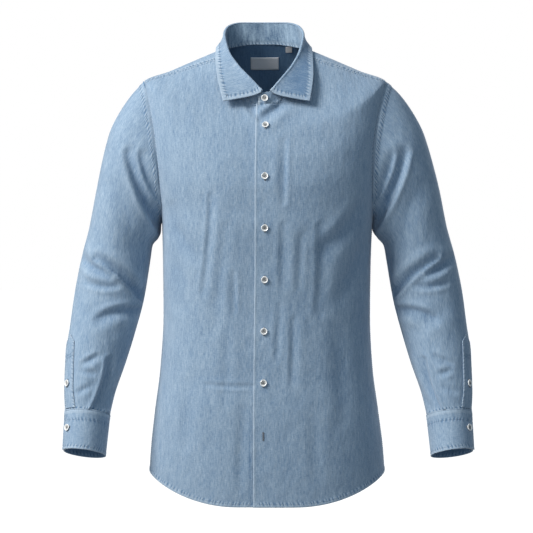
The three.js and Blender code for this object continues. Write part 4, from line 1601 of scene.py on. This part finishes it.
def crease_shade(points: Array, creases: Sequence[Crease], facing: Array, sign: int = 1) -> Array:
    """How far the cloth lies in its troughs, as painted shade that deepens their colour."""
    depth = crease_depth(creases, points[..., 0] * sign, points[..., 2], facing)
    return np.clip(depth * CREASE_SHADE_SHARE, *CREASE_SHADE_ENDS)


def straight_grain(points: Array, turn: Array, level: Array) -> tuple[Array, Array]:
    """The grain of a panel that hangs: across it as its threads lie, and straight down it.

    Args:
        points: the panel's points.
        turn: their angles round the body.
        level: their levels among the loops.

    Returns:
        Places across and along the grain.
    """
    x, y, z = points[..., 0], points[..., 1], points[..., 2]
    reach = np.where(np.sin(turn) < 0, LOOPS.read("front", level), LOOPS.read("back", level))
    round_side = np.maximum(reach - np.abs(y), 0) * SIDE_SHARE
    return x + np.sign(x) * round_side * smooth((np.abs(x) - SIDE_START) / SIDE_START), z


HEM = Seam(Side.FIRST_ROW, 6, 0.6, 0.55, 9, (6.0,), paling=0.3)


@dataclass
class Panels:
    """The two fronts, the back and the yoke."""

    finishes: Finishes
    thread: Thread
    lap: float = 16.5
    lap_blend: float = 60.0
    lap_gap: float = 1.0
    # A painted shadow beside the lapped edge: its distance from the edge, its top, its depth and its
    # width
    facing_gap: float = 5.5
    facing_top: float = -575.0
    facing_shade: float = 0.3
    facing_reach: float = 2.0
    hem_bunching: float = 1.15
    row_bunching: float = 0.3
    front_bunching: float = 0.45
    yoke_bunching: float = 0.2
    armhole_share: float = 0.375
    yoke_height: float = -146.0
    front_columns: int = 104
    back_columns: int = 150
    lower_rows: int = 150
    armhole_rows: int = 64
    chest_rows: int = 28
    yoke_rows: int = 40
    yoke_columns: int = 170
    front_cut: Cut = Cut(0.30, 0.76, 0.175)
    back_cut: Cut = Cut(0.48, 0.72, 0.315)
    yoke_cut: Cut = Cut(0.46, 0.20, 0.055)

    def build(self) -> list[ClothPiece]:
        """Builds and dresses the four panels.

        Returns:
            The pieces.
        """
        pieces = [self.front(-1), self.front(1), self.back(), self.yoke()]
        for piece in pieces:
            piece.dress(self.finishes.denim, self.finishes.inside)
        return pieces

    @staticmethod
    def edge(row: Array, end: float) -> tuple[Array, Array]:
        """The angle and level of a panel's outer edge on the wearer's left.

        Args:
            row: 0 to 1 up the side seam, to 2 round the armhole, to 3 along the yoke seam.
            end: the armhole turn at which the yoke seam starts.

        Returns:
            Angles and levels.
        """
        hole_angle, hole_level = BODY.armhole(mix(-QUARTER, end, np.clip(row - 1, 0, 1)))
        seam_angle, seam_level = BODY.armhole(end)
        share = np.clip(row - 2, 0, 1)
        top = (mix(seam_angle, YOKE_NECK_ANGLE, share), mix(seam_level, NECK, share))
        low, high = row <= ROW_CHEST, row > ROW_YOKE
        angle = np.where(low, 0, np.where(high, top[0], hole_angle))
        return angle, np.where(low, CHEST * row, np.where(high, top[1], hole_level))

    def rows(self, with_yoke: bool) -> Array:
        """The rows up a panel, finer at the hem.

        Args:
            with_yoke: whether they go on along the yoke seam.

        Returns:
            The rows, from 0 at the hem.
        """
        lower = np.linspace(0, 1, self.lower_rows + 1) ** self.hem_bunching
        parts = [lower, ROW_CHEST + eased(self.armhole_rows, self.row_bunching)[1:]]
        if with_yoke:
            parts.append(ROW_YOKE + eased(self.chest_rows, self.row_bunching)[1:])
        return np.concatenate(parts)

    def front(self, sign: int) -> ClothPiece:
        """One front, where the wearer's left one laps over the right one.

        Args:
            sign: 1 for the wearer's left, -1 for the right.

        Returns:
            The piece.
        """
        columns = eased(self.front_columns, self.front_bunching)
        row, across = np.meshgrid(self.rows(True), columns, indexing="ij")
        angle, level = self.edge(row, YOKE_FRONT_END)
        at_yoke = BODY.level_at(
            lambda held: BODY.front_angle(np.zeros_like(held), held), self.yoke_height
        )
        centre = CHEST * np.minimum(row, 1)
        centre = np.where(row > 1, mix(CHEST, at_yoke, np.clip(row - 1, 0, 1)), centre)
        centre = np.where(row > 2, mix(at_yoke, NECK, row - 2), centre)
        held = mix(centre, level, across)
        line = LOOPS.read("opening", held)
        start = BODY.front_angle(line - sign * self.lap, held)
        side = mirror_angle(angle, sign) - (FULL_TURN if sign < 0 else 0)
        turn = mix(start, side, across)
        from_centre = (BODY.plain(turn, held)[..., 0] - line) * sign
        tuck = 1 - smooth((from_centre - self.lap) / self.lap_blend) if sign < 0 else 0 * held
        points, normals = BODY.on(turn, held, -tuck * (CAD_CLOTH + self.lap_gap))
        grid = ClothGrid(points, normals)
        grid.grain = straight_grain(points, turn, held)
        # Painted shade in the creases, and a painted highlight on their ridges
        grid.painted_shade = crease_shade(points, BODY.creases, np.sin(turn))
        # A painted shadow: a narrow dark line on the under front beside the upper front's edge, from
        # the hem up to a set height
        if sign < 0:
            beside = line - self.lap - points[..., 0] - self.facing_gap
            below = smooth((self.facing_top - points[..., 2]) / self.lap_blend)
            shade = self.facing_shade * np.exp(-((beside / self.facing_reach) ** 2))
            grid.painted_shade = grid.painted_shade + below * shade
        seams = (
            HEM,
            Seam(Side.FIRST_COLUMN, 0.8, 0.6, 0.0, 12, (), paling=0.55, bars=0),
            Seam(Side.LAST_COLUMN, 5, 0.3, 0.3, 10, (3.0,), paling=0.2, bars=0.7),
            Seam(Side.LAST_ROW, 3, 0.2, 0.3, 9, (), paling=0.2, bars=0.7),
        )
        grid.sew(seams)
        self.thread.topstitch(grid, seams)
        name = "left" if sign > 0 else "right"
        piece = ClothPiece(f"cloth_front_{name}", grid)
        piece.declare(f"front_{name}", self.front_cut, Hold.HUNG)
        return piece

    @staticmethod
    def back_seam(angle: Array) -> Array:
        """The level of the yoke's back seam at angles on the back."""
        seam_angle, seam_level = BODY.armhole(YOKE_BACK_END)
        return mix(seam_level, YOKE_BACK_CENTRE, smooth((angle - seam_angle) / (QUARTER - seam_angle)))

    def back(self) -> ClothPiece:
        """The back, from its tail to the yoke seam.

        Returns:
            The piece.
        """
        columns = 2 * eased(self.back_columns, self.row_bunching) - 1
        row, across = np.meshgrid(self.rows(False), columns, indexing="ij")
        above = np.clip(row - 1, 0, 1)
        hole_angle, hole_level = BODY.armhole(mix(-QUARTER, YOKE_BACK_END - FULL_TURN, above))
        edge_angle = np.where(row <= 1, 0, hole_angle)
        edge_level = np.where(row <= 1, CHEST * row, hole_level)
        centre = np.where(row <= 1, CHEST * row, mix(CHEST, YOKE_BACK_CENTRE, above))
        angle = mix(QUARTER, edge_angle, np.abs(across))
        level = mix(edge_level, centre, smooth((angle - edge_angle) / (QUARTER - edge_angle)))
        turn = mirror_angle(angle, np.where(across < 0, -1, 1))
        points, normals = BODY.on(turn, level)
        grid = ClothGrid(points, normals)
        grid.grain = straight_grain(points, turn, level)
        # Painted shade in the creases, and a painted highlight on their ridges
        grid.painted_shade = crease_shade(points, BODY.creases, np.sin(turn))
        seams = (
            HEM,
            Seam(Side.LAST_ROW, 3, 0.2, 0.35, 9, (), paling=0.2),
            Seam(Side.FIRST_COLUMN, 5, 0.3, 0.3, 10, (), paling=0.2, bars=0.7),
            Seam(Side.LAST_COLUMN, 5, 0.3, 0.3, 10, (), paling=0.2, bars=0.7),
        )
        grid.sew(seams)
        self.thread.topstitch(grid, seams)
        piece = ClothPiece("cloth_back", grid)
        piece.declare("back", self.back_cut, Hold.HUNG)
        return piece

    def yoke(self) -> ClothPiece:
        """The yoke over both shoulders.

        Returns:
            The piece.
        """
        columns = 2 * eased(self.yoke_columns, self.yoke_bunching) - 1
        towards, across = np.meshgrid(eased(self.yoke_rows), columns, indexing="ij")
        share = 1 - np.abs(across)
        hole_angle, hole_level = BODY.armhole(
            mix(YOKE_FRONT_END, YOKE_BACK_END, np.minimum(share / self.armhole_share, 1))
        )
        rest = np.clip((share - self.armhole_share) / (1 - self.armhole_share), 0, 1)
        outer_angle = mix(hole_angle, QUARTER, rest)
        outer_level = np.where(rest > 0, self.back_seam(outer_angle), hole_level)
        inner_angle = mix(YOKE_NECK_ANGLE, QUARTER, share)
        angle = mix(outer_angle, inner_angle, towards)
        turn = mirror_angle(angle, np.where(across < 0, -1, 1))
        points, normals = BODY.on(turn, mix(outer_level, NECK, towards))
        grid = ClothGrid(points, normals)
        grid.grain = points[..., 0] * SHOULDER_STRETCH[0], points[..., 1] * SHOULDER_STRETCH[1]
        seams = (
            Seam(Side.FIRST_ROW, 5, 0.5, 0.45, 8, (1.8,), paling=0.35),
            Seam(Side.LAST_ROW, 3, 0.3, 0.3, 8, (), paling=0.3),
            Seam(Side.FIRST_COLUMN, 5, 0.5, 0.45, 8, (1.8,), paling=0.35),
            Seam(Side.LAST_COLUMN, 5, 0.5, 0.45, 8, (1.8,), paling=0.35),
        )
        grid.sew(seams)
        self.thread.topstitch(grid, seams)
        piece = ClothPiece("cloth_yoke", grid)
        piece.declare("yoke", self.yoke_cut, Hold.HUNG)
        return piece


@dataclass
class Sleeves:
    """Both sleeves with their plackets and cuffs."""

    finishes: Finishes
    thread: Thread
    sleeve_rows: int = 220
    sleeve_columns: int = 140
    sleeve_bunching: float = 0.35
    placket_rows: int = 66
    placket_columns: int = 15
    placket_bunching: float = 0.4
    placket_tip: float = 0.06
    cuff_rows: int = 36
    cuff_columns: int = 150
    cuff_row_bunching: float = 0.5
    cuff_column_bunching: float = 0.3
    cuff_tuck: float = 2.3
    placket_length: float = 122.0
    placket_half: float = 13.0
    placket_point: float = 12.0
    placket_lift: float = 1.6
    placket_bars: tuple[float, float] = (36.0, 41.0)
    bar_shade: float = 0.5
    placket_turns: tuple[float, float] = (math.radians(60), math.radians(44))
    placket_rings: tuple[float, float] = (8.38, 10.95)
    placket_button: float = 0.59
    cuff_edge: float = math.radians(76)
    cuff_lap: float = math.radians(40)
    cuff_blend: float = math.radians(70)
    cuff_button: tuple[float, float] = (math.radians(47), 0.47)
    sleeve_cut: Cut = Cut(0.38, 0.58, 0.168)
    cuff_cut: Cut = Cut(0.28, 0.066)
    placket_cut: Cut = Cut(0.026, 0.122)

    def build(self) -> list[ClothPiece]:
        """Builds and dresses the sleeves, plackets and cuffs.

        Returns:
            The pieces.
        """
        pieces = []
        for form in SLEEVES:
            pieces += [self.sleeve(form), self.placket(form), self.cuff(form)]
        for piece in pieces:
            piece.dress(self.finishes.denim, self.finishes.inside)
        return pieces

    def sleeve(self, form: SleeveForm) -> ClothPiece:
        """One sleeve from the armhole to the cuff seam.

        Args:
            form: the sleeve's form.

        Returns:
            The piece.
        """
        rows = eased(self.sleeve_rows, self.sleeve_bunching) * SLEEVE_END
        turns = np.linspace(-QUARTER, 1.5 * math.pi, self.sleeve_columns + 1)
        place, turn = np.meshgrid(rows, turns, indexing="ij")
        points, normals = form.on(turn, place)
        grid = ClothGrid(points, normals, closed=True)
        # Painted shade in the creases, and a painted highlight on their ridges
        grid.painted_shade = crease_shade(points, form.creases, -np.cos(turn), form.sign)
        seams = (
            Seam(Side.FIRST_ROW, 10, 1.2, 0.7, 8.5, (2.0, 9.5), (0, 0), paling=0.25, bars=1.5),
            Seam(Side.LAST_ROW, 3, 0.2, 0.5, 10, (), (0, 0), paling=0.2),
        )
        grid.sew(seams)
        self.thread.topstitch(grid, seams)
        piece = ClothPiece(f"cloth_sleeve_{form.name}", grid)
        piece.declare(f"sleeve_{form.name}", self.sleeve_cut, Hold.HUNG)
        return piece

    def placket_place(self, along: Array) -> tuple[Array, Array]:
        """The turn and ring of the placket's middle line."""
        return mix(*self.placket_turns, along), mix(*self.placket_rings, along)

    def placket(self, form: SleeveForm) -> ClothPiece:
        """The pointed strip over the sleeve's slit.

        Args:
            form: the sleeve's form.

        Returns:
            The piece.
        """
        rows = eased(self.placket_rows, self.placket_bunching)
        columns = np.linspace(-1, 1, self.placket_columns)
        along, across = np.meshgrid(rows, columns, indexing="ij")
        widening = self.placket_tip + along * self.placket_length / self.placket_point
        half = self.placket_half * np.minimum(1, widening)
        middle, ring = self.placket_place(along)
        turn = middle + across * half / RINGS.read("front", ring)
        points, normals = form.on(turn, ring, self.placket_lift)
        grid = ClothGrid(points, normals)
        seams = (
            Seam(Side.FIRST_COLUMN, 2, 0.2, 0.3, 8, (1.8,), (8, 1), paling=0.6, bars=0.7),
            Seam(Side.LAST_COLUMN, 2, 0.2, 0.3, 8, (1.8,), (8, 1), paling=0.6, bars=0.7),
        )
        grid.sew(seams)
        self.thread.topstitch(grid, seams)
        for gap in self.placket_bars:
            self.thread.sew(grid.inset(Side.FIRST_ROW, gap, (2, 2)))
            # Painted shade along each stitched bar
            away, _ = grid.from_side(Side.FIRST_ROW)
            grid.painted_shade = grid.painted_shade + self.bar_shade * np.exp(-((away - gap) ** 2))
        piece = ClothPiece(f"cloth_placket_{form.name}", grid)
        piece.declare(f"placket_{form.name}", self.placket_cut, Hold.LAID)
        return piece

    def cuff(self, form: SleeveForm) -> ClothPiece:
        """The lapped band round the wrist.

        Args:
            form: the sleeve's form.

        Returns:
            The piece.
        """
        start = self.cuff_edge - self.cuff_lap
        columns = eased(self.cuff_columns, self.cuff_column_bunching)
        turns = mix(start, self.cuff_edge + FULL_TURN, columns)
        rows = eased(self.cuff_rows, self.cuff_row_bunching)
        along, turn = np.meshgrid(rows, turns, indexing="ij")
        tuck = 1 - smooth((turn - start - self.cuff_lap) / self.cuff_blend)
        points, normals = form.on_cuff(turn, along, -tuck * self.cuff_tuck)
        grid = ClothGrid(points, normals)
        seams = (
            Seam(Side.FIRST_ROW, 6, 0.2, 0.35, 7, (1.5, 18.0), paling=0.35, bars=1.1),
            Seam(Side.LAST_ROW, 5, 0.3, 0.4, 7, (5.0,), paling=0.35, bars=1.1),
            Seam(Side.LAST_COLUMN, 4, 0.2, 0.3, 8, (5.0,), paling=0.35),
        )
        grid.sew(seams)
        self.thread.topstitch(grid, seams)
        piece = ClothPiece(f"cloth_cuff_{form.name}", grid, DOUBLE_CLOTH)
        piece.declare(f"cuff_{form.name}", self.cuff_cut, Hold.HUNG)
        return piece


@dataclass
class Collar:
    """The stand and the turned-over leaf."""

    finishes: Finishes
    thread: Thread
    stand_rows: int = 18
    stand_columns: int = 240
    roll_rows: int = 12
    leaf_rows: int = 44
    leaf_columns: int = 300
    row_bunching: float = 0.5
    leaf_bunching: float = 0.4
    stitch_gap: float = 8.0
    seam_lap: float = 0.08
    stand_stitch: float = 3.0
    # Painted shade on the wearer's left leaf: its strength, how far along it fades in, and the row
    # where it starts
    leaf_shade: float = 0.42
    shade_reach: float = 0.5
    shade_start: float = 0.8
    stand_cut: Cut = Cut(0.44, 0.035, 0.0125)
    leaf_cut: Cut = Cut(0.46, 0.07, 0.025)

    def build(self) -> list[ClothPiece]:
        """Builds and dresses the stand and the leaf.

        Returns:
            The pieces.
        """
        stand, leaf = self.stand(), self.leaf()
        stand.dress(self.finishes.denim, self.finishes.band)
        leaf.dress(self.finishes.denim, self.finishes.denim)
        return [stand, leaf]

    def stand(self) -> ClothPiece:
        """The band that rises from the neck seam.

        Returns:
            The piece.
        """
        reach = 1 + COLLAR.lap
        columns = np.linspace(-reach, reach, self.stand_columns + 1)
        rows = mix(-self.seam_lap, 1, eased(self.stand_rows, self.row_bunching))
        up, along = np.meshgrid(rows, columns, indexing="ij")
        points, normals = COLLAR.on_stand(up, along)
        grid = ClothGrid(points, normals)
        seams = (
            Seam(Side.FIRST_ROW, 4, 0.9, 0.35, 7, paling=0.2, bars=0.7),
            Seam(Side.FIRST_COLUMN, 1.5, 0.5, 0.0, paling=1.0, bars=0),
            Seam(Side.LAST_COLUMN, 1.5, 0.5, 0.0, paling=1.0, bars=0),
        )
        grid.sew(seams)
        self.thread.sew(grid.inset(Side.FIRST_ROW, self.stand_stitch, (2, 2)))
        piece = ClothPiece("cloth_stand", grid, DOUBLE_CLOTH)
        piece.declare("collar_stand", self.stand_cut, Hold.FOLDED)
        return piece

    def leaf(self) -> ClothPiece:
        """The leaf, folded over the roll line, with its edge topstitched.

        Returns:
            The piece.
        """
        columns = 2 * eased(self.leaf_columns, self.row_bunching) - 1
        over = np.linspace(0, 1, self.roll_rows + 1)
        rows = np.concatenate([over, 1 + eased(self.leaf_rows, self.leaf_bunching)[1:]])
        row, along = np.meshgrid(rows, columns, indexing="ij")
        points = COLLAR.on_leaf(row, along)
        outwards = COLLAR.frame(along)["outwards"] * (row > 1)[..., None]
        grid = ClothGrid(points, outwards)
        # Painted shade over the outer part of the wearer's left leaf, the side turned away from the
        # key light
        shaded = self.leaf_shade * smooth(along / self.shade_reach)
        grid.painted_shade = shaded * smooth(row - self.shade_start)
        stitches = (self.stitch_gap,)
        seams = (
            Seam(Side.LAST_ROW, 7, 0.3, 0.6, 6.5, stitches, (9, 9), paling=0.45, bars=1.2),
            Seam(Side.FIRST_COLUMN, 7, 0.3, 0.5, 6.5, stitches, (14, 9), paling=0.45, bars=1.2),
            Seam(Side.LAST_COLUMN, 7, 0.3, 0.5, 6.5, stitches, (14, 9), paling=0.45, bars=1.2),
        )
        grid.sew(seams)
        self.thread.topstitch(grid, seams)
        piece = ClothPiece("cloth_leaf", grid, DOUBLE_CLOTH)
        piece.declare("collar_leaf", self.leaf_cut, Hold.FOLDED)
        return piece


# A button's section: the rim as shares of the radius and drops in millimetres, and below it
# shares of the radius and the height
RIM_SECTION = ((0.80, -0.1), (0.88, 0.0), (0.96, -0.15))
UNDER_SECTION = ((1.0, 0.72), (0.99, 0.5), (0.9, 0.22), (0.7, 0.0), (0.0, 0.0))
DOWN = np.array([0.0, 0.0, 1.0])
LEVEL = np.array([1.0, 0.0, 0.0])


@dataclass
class Buttons:
    """Eleven four-hole buttons, sewn on, with their buttonholes."""

    finishes: Finishes
    sleeves: Sleeves
    width: float = 11.5
    height: float = 2.6
    dish_share: float = 0.55
    dish_reach: float = 0.66
    dish_edge: tuple[float, float] = (0.74, 0.35)
    # How far out and how high the dish's painted shade reaches
    shade_reach: float = 0.62
    shade_floor: float = 0.2
    spin_steps: int = 40
    hole_radius: float = 0.75
    hole_depth: float = 1.0
    hole_power: int = 4
    hole_floor: float = 0.9
    hole_place: float = 0.95
    thread_reach: float = 1.25
    thread_arch: float = 0.35
    front_lift: float = 0.3
    placket_lift: float = 0.4
    cuff_lift: float = 0.6
    collar_lift: float = 1.2
    collar_place: tuple[float, float] = (0.5, 1.08)
    first: float = -133.8
    pitch: float = -84.6
    count: int = 6
    spare_hole: float = -643.5
    slit_length: float = 15.0
    slit_side: float = 0.8

    def places(self) -> dict[str, tuple[Array, Array, Array]]:
        """Where each button sits.

        Returns:
            The point, the normal and the buttonhole's direction, by node.
        """
        found = {}
        for index in range(self.count):
            point, normal = self.front_place(self.first + index * self.pitch)
            found[f"button_front_{index + 1}"] = (point, normal, DOWN)
        up, along = np.array(self.collar_place)[:, None]
        point, normal = COLLAR.on_stand(up, along, self.collar_lift)
        found["button_collar"] = (point[0], normal[0], LEVEL)
        for form in SLEEVES:
            turn, ring = self.sleeves.placket_place(np.array([self.sleeves.placket_button]))
            lift = self.sleeves.placket_lift + self.placket_lift
            point, normal = form.on(turn, ring, lift)
            found[f"button_placket_{form.name}"] = (point[0], normal[0], DOWN)
            turn, along = np.array(self.sleeves.cuff_button)[:, None]
            point, normal = form.on_cuff(turn, along, self.cuff_lift)
            found[f"button_cuff_{form.name}"] = (point[0], normal[0], LEVEL)
        return found

    def front_place(self, z: float) -> tuple[Array, Array]:
        """A place on the front opening's line.

        Args:
            z: its height, in millimetres.

        Returns:
            The point and its normal.
        """
        level = BODY.level_at(lambda held: BODY.front_angle(LOOPS.read("opening", held), held), z)
        at = np.array([level])
        angle = BODY.front_angle(LOOPS.read("opening", at), at)
        point, normal = BODY.on(angle, at, self.front_lift)
        return point[0], normal[0]

    def disc(self, name: str) -> bpy.types.Mesh:
        """Spins one button's section and sinks its four holes, lying flat at the origin.

        Args:
            name: the mesh's name.

        Returns:
            The mesh.
        """
        radius = self.width / 2
        dish = self.height * self.dish_share
        section = [(share * radius * self.dish_reach, dish) for share in np.linspace(0, 1, 11)]
        section += [(radius * self.dish_edge[0], dish + self.dish_edge[1])]
        section += [(radius * share, self.height + drop) for share, drop in RIM_SECTION]
        section += [(radius * share, self.height * up) for share, up in UNDER_SECTION]
        shape = bmesh.new()
        points = [shape.verts.new((across * MM, 0, up * MM)) for across, up in section]
        edges = [shape.edges.new(pair) for pair in zip(points, points[1:])]
        bmesh.ops.spin(
            shape,
            geom=points + edges,
            cent=(0, 0, 0),
            axis=(0, 0, 1),
            angle=FULL_TURN,
            steps=self.spin_steps,
            use_merge=True,
        )
        bmesh.ops.remove_doubles(shape, verts=shape.verts, dist=1e-6)
        bmesh.ops.recalc_face_normals(shape, faces=shape.faces)
        for vert in shape.verts:
            if vert.co.z > dish * MM * self.hole_floor:
                for x, y in ((1, 1), (1, -1), (-1, 1), (-1, -1)):
                    off_x = vert.co.x / MM - x * self.hole_place
                    off_y = vert.co.y / MM - y * self.hole_place
                    away = math.hypot(off_x, off_y) / self.hole_radius
                    vert.co.z -= self.hole_depth * MM * math.exp(-(away**self.hole_power))
        # Marks the dish for its painted shade
        sunk = shape.verts.layers.float.new("dish")
        for vert in shape.verts:
            inside = math.hypot(vert.co.x, vert.co.y) < radius * self.shade_reach * MM
            vert[sunk] = float(inside and vert.co.z > self.shade_floor * MM)
        for face in shape.faces:
            face.smooth = True
        mesh = bpy.data.meshes.new(name)
        shape.to_mesh(mesh)
        shape.free()
        return mesh

    @staticmethod
    def directions(normal: Array, along: Array) -> tuple[Array, Array]:
        """Two directions in the plane of a button, the first along its buttonhole."""
        first = unit(along - normal * float(np.dot(along, normal)))
        return first, np.cross(normal, first)

    def build(self) -> list[bpy.types.Object]:
        """Builds every button, its thread and the buttonholes.

        Returns:
            The objects.
        """
        made = []
        threads = Thread("button_threads", radius=0.32)
        holes = Thread("buttonholes", pitch=0.9, length=0.8, radius=0.42)
        for node, (point, normal, along) in self.places().items():
            first, second = self.directions(normal, along)
            mesh = self.disc(f"sewn_{node}")
            turn = np.stack([first, second, normal], axis=1)
            flat = np.zeros(len(mesh.vertices) * 3)
            mesh.vertices.foreach_get("co", flat)
            placed = flat.reshape(-1, 3) @ turn.T + point * MM
            mesh.vertices.foreach_set("co", placed.ravel())
            mesh.materials.append(self.finishes.button)
            item = linked(f"sewn_{node}", mesh)
            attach(item, "root")
            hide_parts(node)
            made.append(item)
            seat = point + normal * self.height * self.dish_share
            self.cross(threads, seat, normal, first, second)
            self.hole(holes, point, normal, first, second)
        point, normal = self.front_place(self.spare_hole)
        self.hole(holes, point, normal, *self.directions(normal, DOWN))
        for kind in (threads, holes):
            item = kind.build(self.finishes.cord)
            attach(item, "root")
            made.append(item)
        return made

    def cross(
        self, threads: Thread, point: Array, normal: Array, first: Array, second: Array
    ) -> None:
        """Two bars of thread between a button's holes.

        Args:
            threads: the thread that takes them.
            point: the middle of the dish.
            normal: the button's axis.
            first: the direction along the bars.
            second: the direction across them.
        """
        for side in (-self.hole_place, self.hole_place):
            share = np.linspace(-1, 1, 5)[:, None]
            lift = self.thread_arch * (1 - share**2)
            line = point + second * side + first * share * self.thread_reach + normal * lift
            threads.paths.append((line, np.repeat(normal[None], len(line), axis=0)))

    def hole(
        self, holes: Thread, point: Array, normal: Array, first: Array, second: Array
    ) -> None:
        """The two whipped sides of a buttonhole.

        Args:
            holes: the thread that takes them.
            point: the buttonhole's middle.
            normal: the cloth's normal.
            first: the direction along it.
            second: the direction across it.
        """
        for side in (-1.0, 1.0):
            share = np.linspace(-1, 1, 12)[:, None]
            line = point + first * share * self.slit_length / 2 + second * side * self.slit_side
            holes.paths.append((line, np.repeat(normal[None], len(line), axis=0)))


@dataclass(frozen=True)
class Patch:
    """A small flat piece inside the back of the neck, with its place in millimetres."""

    node: str
    slot: str
    width: float
    height: float
    x: float
    top: float
    cut: Cut


@dataclass
class Labels:
    """The blank neck label and size tag inside the back of the neck."""

    finishes: Finishes
    label: Patch = Patch("neck_label", "label", 49, 20, -3, -3, Cut(0.049, 0.026))
    tag: Patch = Patch("size_tag", "tag", 11, 9, 39, 13, Cut(0.011, 0.017))
    lift: float = 1.75
    thickness: float = 0.5
    rows: int = 12
    columns: int = 24

    def build(self) -> list[ClothPiece]:
        """Builds and dresses both.

        Returns:
            The pieces.
        """
        label, tag = self.sewn(self.label), self.sewn(self.tag)
        label.dress(self.finishes.label, self.finishes.label)
        tag.dress(self.finishes.tag, self.finishes.tag)
        return [label, tag]

    def sewn(self, patch: Patch) -> ClothPiece:
        """One small flat piece on the inside of the yoke.

        Args:
            patch: what it is and where it goes.

        Returns:
            The piece.
        """
        rows = np.linspace(0, 1, self.rows + 1)
        columns = np.linspace(-0.5, 0.5, self.columns + 1)
        points = np.zeros((len(rows), len(columns), 3))
        normals = np.zeros_like(points)
        for j, across in enumerate(columns):
            place = patch.x + across * patch.width
            for i, down in enumerate(rows):
                z = patch.top - down * patch.height
                level = BODY.level_at(
                    lambda held: BODY.back_angle(np.full_like(held, place), held), z
                )
                at = np.array([level])
                found, normal = BODY.on(BODY.back_angle(np.array([place]), at), at, -self.lift)
                points[i, j], normals[i, j] = found[0], normal[0]
        piece = ClothPiece(f"sewn_{patch.node}", ClothGrid(points, -normals), self.thickness)
        piece.declare(patch.node, patch.cut, Hold.LAID, patch.slot)
        return piece


@dataclass(frozen=True)
class Lamp:
    """A square light's place and width in metres, its power in watts and its colour."""

    name: str
    place: Triple
    width: float
    power: float
    colour: Triple


LAMPS = (
    Lamp("key", (-2.75, -1.7, 2.1), 1.6, 222, (1.0, 0.955, 0.91)),
    Lamp("front", (0.4, -4.0, 1.3), 2.6, 20, (0.95, 0.98, 1.0)),
    Lamp("back", (1.7, 3.3, 1.2), 2.6, 70, (0.97, 0.98, 1.0)),
)


@dataclass
class Studio:
    """Soft light from the upper left, the front and the back, a pale floor and the camera."""

    distance: float = 3.02
    height: float = -0.366
    lens: float = 120.0
    floor_height: float = -1.25
    floor_reach: float = 60.0
    floor_grey: float = 0.25
    floor_glow: float = 0.12
    floor_roughness: float = 0.9
    aim_height: float = -0.38
    sensor: float = 36.0
    ambient: float = 0.27
    cool: Triple = (0.55, 0.79, 1.0)

    def build(self) -> None:
        """Builds the floor, the lights, the world and the camera."""
        self.floor()
        for lamp in LAMPS:
            self.light(lamp)
        self.world()
        self.camera()

    def floor(self) -> None:
        """A wide pale floor, as white as the backdrop."""
        shape = bmesh.new()
        bmesh.ops.create_grid(shape, x_segments=1, y_segments=1, size=self.floor_reach)
        mesh = bpy.data.meshes.new("floor")
        shape.to_mesh(mesh)
        shape.free()
        mesh.transform(Matrix.Translation((0, 0, self.floor_height)))
        material, nodes, shader = new_material("pale floor")
        shader.inputs["Base Color"].default_value = (*[self.floor_grey] * 3, 1)
        shader.inputs["Roughness"].default_value = self.floor_roughness
        shader.inputs["Specular IOR Level"].default_value = 0.0
        shader.inputs["Emission Color"].default_value = (1, 1, 1, 1)
        nodes.join(self.seen_as(nodes, 1.0, self.floor_glow), shader.inputs["Emission Strength"])
        mesh.materials.append(material)
        linked("floor", mesh)

    @staticmethod
    def seen_as(nodes: NodeSheet, seen: float, given: float) -> Socket:
        """A strength that the camera sees, and another that lights the shirt."""
        path = nodes.add("ShaderNodeLightPath").outputs["Is Camera Ray"]
        return nodes.maths("ADD", nodes.maths("MULTIPLY", path, seen - given), given)

    def light(self, lamp: Lamp) -> None:
        """One soft square light that faces the shirt.

        Args:
            lamp: what it is and where it stands.
        """
        data = bpy.data.lights.new(lamp.name, "AREA")
        data.size = lamp.width
        data.energy = lamp.power
        data.color = lamp.colour
        item = linked(lamp.name, data)
        item.location = lamp.place
        aim = Vector((0, 0, self.aim_height)) - item.location
        item.rotation_euler = aim.to_track_quat("-Z", "Y").to_euler()

    def world(self) -> None:
        """White to the camera, and a soft cool light to the shirt."""
        world = bpy.data.worlds.new("studio")
        world.use_nodes = True
        nodes = NodeSheet(world.node_tree)
        backdrop = world.node_tree.nodes["Background"]
        path = nodes.add("ShaderNodeLightPath").outputs["Is Camera Ray"]
        nodes.join(nodes.blend(path, (*self.cool, 1), (1, 1, 1, 1)), backdrop.inputs["Color"])
        nodes.join(self.seen_as(nodes, 1.0, self.ambient), backdrop.inputs["Strength"])
        bpy.context.scene.world = world

    def camera(self) -> None:
        """The camera at the photograph's distance and height."""
        lens = bpy.data.cameras.new("camera")
        lens.lens = self.lens
        lens.sensor_width = self.sensor
        lens.sensor_fit = "HORIZONTAL"
        item = linked("camera", lens)
        item.location = (0, -self.distance, self.height)
        item.rotation_euler = (QUARTER, 0, 0)
        bpy.context.scene.camera = item


def main() -> None:
    """Builds the shirt in order and reports each piece."""
    logging.basicConfig(level=logging.INFO, format="%(name)s: %(message)s")
    bpy.context.scene.view_settings.view_transform = "Standard"
    finishes = Finishes()
    thread = Thread("topstitching")
    sleeves = Sleeves(finishes, thread)
    Studio().build()
    pieces = Panels(finishes, thread).build() + sleeves.build() + Collar(finishes, thread).build()
    pieces += Labels(finishes).build()
    for piece in pieces:
        log.info("%s: %d points", piece.name, len(piece.object.data.vertices))
    for item in Buttons(finishes, sleeves).build():
        log.info("%s: %d faces", item.name, len(item.data.polygons))
    stitches = thread.build(finishes.thread)
    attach(stitches, "root")
    log.info("%s: %d faces", stitches.name, len(stitches.data.polygons))


if __name__ == "__main__":
    main()
